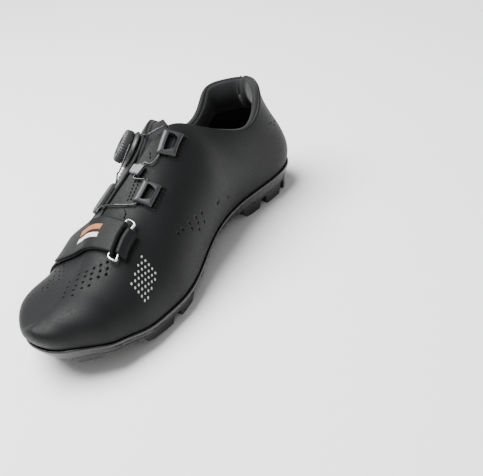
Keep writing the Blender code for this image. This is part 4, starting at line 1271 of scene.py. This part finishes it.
def guide_frame(row):
    half_long = GUIDE_LONG / 2
    half_wide = GUIDE_WIDE / 2
    left = CHANNEL_AT - CHANNEL / 2
    us = half_long * np.linspace(-1, 1, 36)
    vs = np.unique(np.round(np.concatenate([
        np.linspace(-half_wide, half_wide, 27), [left, left + CHANNEL]]), 6))
    slot_left = left + CHANNEL + CHANNEL_SIDE
    slot_right = half_wide * WINDOW_WIDE
    slot_end = half_long * WINDOW_LONG

    def place(u, v, layer):
        end = np.minimum(1, (half_long - abs(u)) / GUIDE_ROUND)
        rim = np.minimum(1, (half_wide - abs(v)) / GUIDE_ROUND)
        crown = np.sqrt(np.clip(np.minimum(end, rim), 0.0, 1))
        inside = (v > left - 1e-6) & (v < left + CHANNEL + 1e-6)
        lift = FIT * 2 + np.where(inside, CHANNEL_TALL, 0)
        if layer:
            hump = 0.12 * np.exp(-((v - CHANNEL_AT) / 0.0018) ** 2)
            lift = FIT * 2 + GUIDE_TALL * (0.62 + 0.38 * crown + hump)
        return on_guide(row, u, v, lift)

    def hole(i, j):
        u = (us[i] + us[i + 1]) / 2
        v = (vs[j] + vs[j + 1]) / 2
        if not slot_left < v < slot_right:
            return False
        bulge = 1 - ((v - slot_left) / (slot_right - slot_left)) ** 2 * 0.45
        return abs(u) < slot_end * bulge

    made = two_layers(row[0] + "_frame", us, vs, place, guide_nylon, row[0], hole)
    crisp(made, 42)


TAB_FROM = 0.0015
TAB_TO = 0.0100
TAB_OVER = 0.0012


def guide_tab(row):
    """The leather tab that the frame is moulded on, sewn down beside it."""
    def place(u, v, layer):
        rim = np.minimum(GUIDE_LONG / 2 + TAB_OVER - abs(u), TAB_TO - v)
        thick = (FIT * 2 - 0.0001) * np.sqrt(np.clip(rim / 0.0006, 0.15, 1))
        return on_guide(row, u, v, 0.00005 + layer * thick)

    reach = GUIDE_LONG / 2 + TAB_OVER
    us = np.concatenate([
        [-reach, -reach + 0.0003], np.linspace(-reach + 0.0007, reach - 0.0007, 22),
        [reach - 0.0003, reach]])
    vs = np.concatenate([np.linspace(TAB_FROM, TAB_TO - 0.0007, 10), [TAB_TO - 0.0003, TAB_TO]])
    two_layers(row[0] + "_tab", us, vs, place, microfibre)


for row in GUIDES:
    guide_frame(row)
    guide_tab(row)


# The hook: a small grey bridge over the throat that turns the lace back.
# Moulded acetal: pale grey and smooth, with a soft gloss.
acetal, tree = finish_of("moulded_acetal")
surface(tree, {
    "Base Color": blend(tree, noise(tree, 0.003, 3.0), "#35373a", "#55585b"),
    "Roughness": 0.36, "IOR": 1.48,
})


def hook_clip():
    left = HOOK_IN - CHANNEL_SIDE - CHANNEL
    us = np.linspace(-HOOK_LONG / 2, HOOK_LONG / 2, 17)
    vs = np.unique(np.round(np.concatenate([
        np.linspace(HOOK_OUT, HOOK_IN, 25), [left, left + CHANNEL]]), 6))

    def place(u, v, layer):
        inside = (v > left - 1e-6) & (v < left + CHANNEL + 1e-6)
        lift = HOOK_LIFT + np.where(inside, CHANNEL_TALL, 0)
        if layer:
            rim = np.clip((HOOK_LONG / 2 - abs(u)) / HOOK_ROUND, 0, 1)
            ramp = np.clip((v - left + HOOK_ROUND) / HOOK_ROUND, 0, 1)
            lift = HOOK_LIFT + HOOK_THICK * (0.6 + 0.4 * np.sqrt(rim)) + CHANNEL_TALL * ramp
        taper = 1 - 0.25 * np.clip((left - v) / 0.006, 0, 1)
        return on_guide(HOOK, u * taper, v, lift)

    made = two_layers("hook_clip", us, vs, place, acetal, "lace_hook")
    crisp(made, 42)


hook_clip()


# The dial: a flanged base sewn to the outer flap and a ribbed knob on it that winds the
# lace. The knob's flat face is plain.
DIAL_ALONG = 0.503
DIAL_DOWN = 0.0150
DIAL_WIDE = 0.0245
DIAL_TALL = 0.0060
RIBS = 36
RIB_DEEP = 0.0007
CAP_AT = 0.0033
dial_t = station(DIAL_ALONG)
dial_v = arch_share(1, np.array(float(dial_t)), np.array(DIAL_DOWN))
dial_axis = normal(1, dial_t, dial_v)
dial_start = skin(1, dial_t, dial_v) + dial_axis * (FIT + 0.0008)
dial_across = unit(np.cross(dial_axis, [0.0, 1.0, 0.1]))
dial_along = np.cross(dial_axis, dial_across)


def turned(name, profile, finish, sides, ribs=0, depth=0.0, node=None):
    """A body turned about the dial's axis; rows marked as ribbed are fluted."""
    angle = np.arange(sides) * 2 * np.pi / sides
    rings = []
    for radius, height, ribbed_row in profile:
        wave = depth * ribbed_row * (0.5 + 0.5 * np.cos(ribs * angle)) ** 0.6
        reach = (radius - wave)[:, None]
        spoke = dial_across * np.cos(angle)[:, None] + dial_along * np.sin(angle)[:, None]
        rings.append(dial_start + dial_axis * height + spoke * reach)
    rings = np.array(rings)
    faces = quads(len(profile), sides, round_cols=True)
    faces += [list(range(sides)), list(range((len(profile) - 1) * sides, len(profile) * sides))]
    made = build(name, rings.reshape(-1, 3), faces, finish)
    crisp(made, 38)
    if node:
        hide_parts(node)
    return made


# rows of radius, height off the upper and share of the ribs' depth
turned("dial_housing", (
    (0.0128, 0.0, 0), (0.0134, 0.0, 0), (0.0137, 0.0003, 0), (0.0137, 0.0009, 0),
    (0.0134, 0.0015, 0), (0.0126, 0.0022, 0), (0.0118, 0.0028, 0), (0.0114, 0.0030, 0),
    (0.0098, 0.0030, 0),
), guide_nylon, 96, node="dial_base")
cap = DIAL_WIDE / 2
turned("dial_cap", (
    (cap * 0.80, CAP_AT, 0), (cap * 0.88, CAP_AT, 0),
    (cap * 0.95, CAP_AT + 0.0002, 0.6), (cap, CAP_AT + 0.0008, 1),
    (cap * 0.995, CAP_AT + DIAL_TALL * 0.40, 1), (cap * 0.985, CAP_AT + DIAL_TALL * 0.70, 1),
    (cap * 0.95, CAP_AT + DIAL_TALL * 0.86, 0.8), (cap * 0.89, CAP_AT + DIAL_TALL * 0.97, 0.3),
    (cap * 0.84, CAP_AT + DIAL_TALL, 0), (cap * 0.66, CAP_AT + DIAL_TALL, 0),
    (cap * 0.61, CAP_AT + DIAL_TALL * 0.98, 0), (cap * 0.55, CAP_AT + DIAL_TALL * 0.86, 0),
    (cap * 0.30, CAP_AT + DIAL_TALL * 0.84, 0),
), guide_nylon, 288, RIBS, RIB_DEEP, "dial_knob")


# The lace: one thin coated cord from the dial through both inner guides and the hook, over
# the throat to the outer guide and back to the dial.
LACE = 0.0012
PORT_SIDE = 0.0065
PORT_REACH = 0.0139
PORT_HIGH = 0.0016

# free stretches: from and to, as along and distance off the middle, then pieces and height
FREE = {
    "port to upper guide": ((0.504, 0.0010), (0.446, -0.0125), 5, 0.0040),
    "upper guide to hook": ((0.539, -0.0150), (0.555, -0.0095), 3, 0.0022),
    "hook to lower guide": ((0.592, -0.0110), (0.580, -0.0175), 3, 0.0022),
    "over the throat": ((0.664, -0.0150), (0.676, 0.0070), 6, 0.0020),
    "back to the port": ((0.593, 0.0075), (0.565, 0.0050), 3, 0.0040),
}


def lace_path():
    lift = FIT + LACE / 2 + 0.0007
    half = GUIDE_LONG / 2
    path = []

    def through(row, shares, length=half, across=CHANNEL_AT, up=lift):
        for k in shares:
            path.append(on_guide(row, k * length, across, up))

    def cross(a, b, pieces, up):
        for k in range(1, pieces):
            share = k / pieces
            here = a[0] * (1 - share) + b[0] * share
            path.append(face_at(here, a[1] * (1 - share) + b[1] * share, up))

    out = unit(np.cross(dial_axis, [0.0, 1.0, 0.0]))
    if out[0] > 0:
        out = -out
    ports = []
    for shift in (-PORT_SIDE, PORT_SIDE):
        reach = math.sqrt(PORT_REACH**2 - shift**2)
        ports.append(dial_start + dial_axis * PORT_HIGH + out * reach + np.array([0.0, shift, 0.0]))
    upper_in, lower_in, lower_out = GUIDES
    path.append(ports[0])
    cross(*FREE["port to upper guide"])
    through(upper_in, (-1.2, -0.85, -0.4, 0, 0.5, 1.2))
    cross(*FREE["upper guide to hook"])
    channel = HOOK_IN - CHANNEL_SIDE - CHANNEL / 2
    through(HOOK, (-0.75, -0.3, 0.3, 0.75), HOOK_LONG, channel, HOOK_LIFT + CHANNEL_TALL / 2)
    cross(*FREE["hook to lower guide"])
    through(lower_in, (-1.2, -0.5, 0, 0.5, 1.2))
    cross(*FREE["over the throat"])
    through(lower_out, (1.2, 0.5, 0, -0.5, -1.2))
    cross(*FREE["back to the port"])
    path.append(ports[1])
    return np.array([np.asarray(p, float) for p in path])


def smoothed(path, pieces):
    """A soft curve through the points of a path."""
    out = []
    for k in range(len(path) - 1):
        p0 = path[max(k - 1, 0)]
        p1 = path[k]
        p2 = path[k + 1]
        p3 = path[min(k + 2, len(path) - 1)]
        for n in range(pieces):
            s = n / pieces
            out.append(0.5 * (2 * p1 + (p2 - p0) * s + (2 * p0 - 5 * p1 + 4 * p2 - p3) * s * s
                              + (3 * p1 - p0 - 3 * p2 + p3) * s**3))
    return np.array(out + [path[-1]])


# Braided cord with a clear coat: near black, with a tight highlight along it.
coated_cord, tree = finish_of("coated_braid")
braid = spots(tree, 0.0006)
surface(tree, {
    "Base Color": blend(tree, braid, "#1a1a1b", "#0c0c0d"), "Roughness": 0.34,
    "Normal": relief(tree, braid, 0.4, 0.0001), "Coat Weight": 0.4, "Coat Roughness": 0.15,
})
cord_path = smoothed(lace_path(), 8)
lace = build("lace_cord", *tube(cord_path, LACE / 2, 10), coated_cord, weld=0)
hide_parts("lace")


# The stitching: bonded polyester thread, lockstitched in rows round the guides' webbing,
# the ring's tab and the strap.
PITCH = 0.0029
STITCH = 0.0020
THREAD = 0.00036

# points of one stitch: share of its length, rise and half width in threads
STITCH_AT = np.array([0, 0.12, 0.5, 0.88, 1.0])
STITCH_RISE = np.array([-1.4, 0.0, 0.75, 0.0, -1.4])
STITCH_HALF = np.array([0.8, 1, 1, 1, 0.8])

# rows on each guide's tab, by distance from the guide's middle
TAB_ROWS = (0.0074, 0.0088)

# side, then the corners of a row: along, distance down the arch
ROWS = (
    (-1, ((0.5241, 0.0043), (0.5425, 0.0084))),
    (-1, ((0.5884, 0.0100), (0.6469, 0.0152))),
    (-1, ((0.5930, 0.0075), (0.6513, 0.0136))),
    (-1, ((0.6689, 0.0157), (0.6732, 0.0179), (0.6862, 0.0198), (0.6990, 0.0208))),
    (-1, ((0.6990, 0.0297), (0.6948, 0.0314), (0.6948, 0.0329), (0.7075, 0.0342),
          (0.7200, 0.0348), (0.7406, 0.0346), (0.7606, 0.0338), (0.7724, 0.0326),
          (0.7762, 0.0304))),
    (1, ((0.4560, 0.0330), (0.6010, 0.0350))),
)


def stitches(rows):
    parts = []
    lines = []
    for side, corners in rows:
        lines.append((np.array(corners), lambda x, y, lift, side=side: at(side, x, y, lift)))
    for row in GUIDES:
        for across in TAB_ROWS:
            ends = GUIDE_LONG / 2 * np.array([[-1.0], [1.0]]) * [[1.0, 0.0]] + [[0.0, across]]
            lines.append((ends, lambda x, y, lift, row=row: on_guide(row, x, y, lift + FIT * 2)))
    for corners, put in lines:
        fine = np.concatenate([
            np.linspace(a, b, 40, endpoint=False) for a, b in zip(corners, corners[1:])
        ] + [corners[-1:]])
        line = put(fine[:, 0], fine[:, 1], 0.0)
        run = np.concatenate([[0], np.cumsum(np.linalg.norm(np.diff(line, axis=0), axis=1))])
        for k in range(int(run[-1] / PITCH)):
            marks = k * PITCH + STITCH * STITCH_AT
            here = np.stack([np.interp(marks, run, fine[:, n]) for n in (0, 1)], axis=1)
            path = put(here[:, 0], here[:, 1], THREAD * STITCH_RISE)
            parts.append(tube(path, THREAD * STITCH_HALF, 6))
    return joined(parts)


# Bonded polyester thread: a shade darker than the leather, with a faint waxy gloss.
thread, tree = finish_of("bonded_thread")
surface(tree, {
    "Base Color": blend(tree, noise(tree, 0.0003, 2.0), "#030303", "#080808"),
    "Roughness": 0.75, "Specular IOR Level": 0.15,
})
sewn = build("stitching", *stitches(ROWS), thread, weld=0)

# The reflective field: small dots of glass-bead film pressed on the inner side behind the
# toe. Glass-bead film: pale grey, with a silvery return of light.
film, tree = finish_of("glass_bead_film")
surface(tree, {
    "Base Color": blend(tree, spots(tree, 0.0003), "#d8dada", "#a9abac"),
    "Roughness": 0.35, "Metallic": 0.4,
})

DOT = 0.00075
DOT_PITCH = 0.0034
DOT_MIDDLE = (0.7680, 0.0520)
DOT_ROWS = 7
DOT_COLUMNS = 5
DOT_STEP = 0.87
dots = []
for row in range(DOT_ROWS):
    for k in range(DOT_COLUMNS):
        across = (k - DOT_COLUMNS // 2 + (row % 2) * 0.5) * DOT_PITCH
        ahead = (row - DOT_ROWS // 2) * DOT_PITCH * DOT_STEP
        angle = np.arange(12) * np.pi / 6
        here = DOT_MIDDLE[0] + (ahead + DOT * np.cos(angle)) / LENGTH
        below_it = DOT_MIDDLE[1] + across + DOT * np.sin(angle)
        rims = [at(-1, here, below_it, np.full(12, lift)) for lift in (0.00003, 0.00015)]
        cells = quads(2, 12, round_cols=True) + [list(range(12)), list(range(12, 24))]
        dots.append((np.concatenate(rims), cells))
field = build("reflective_dots", *joined(dots), film, smooth=False, weld=0)
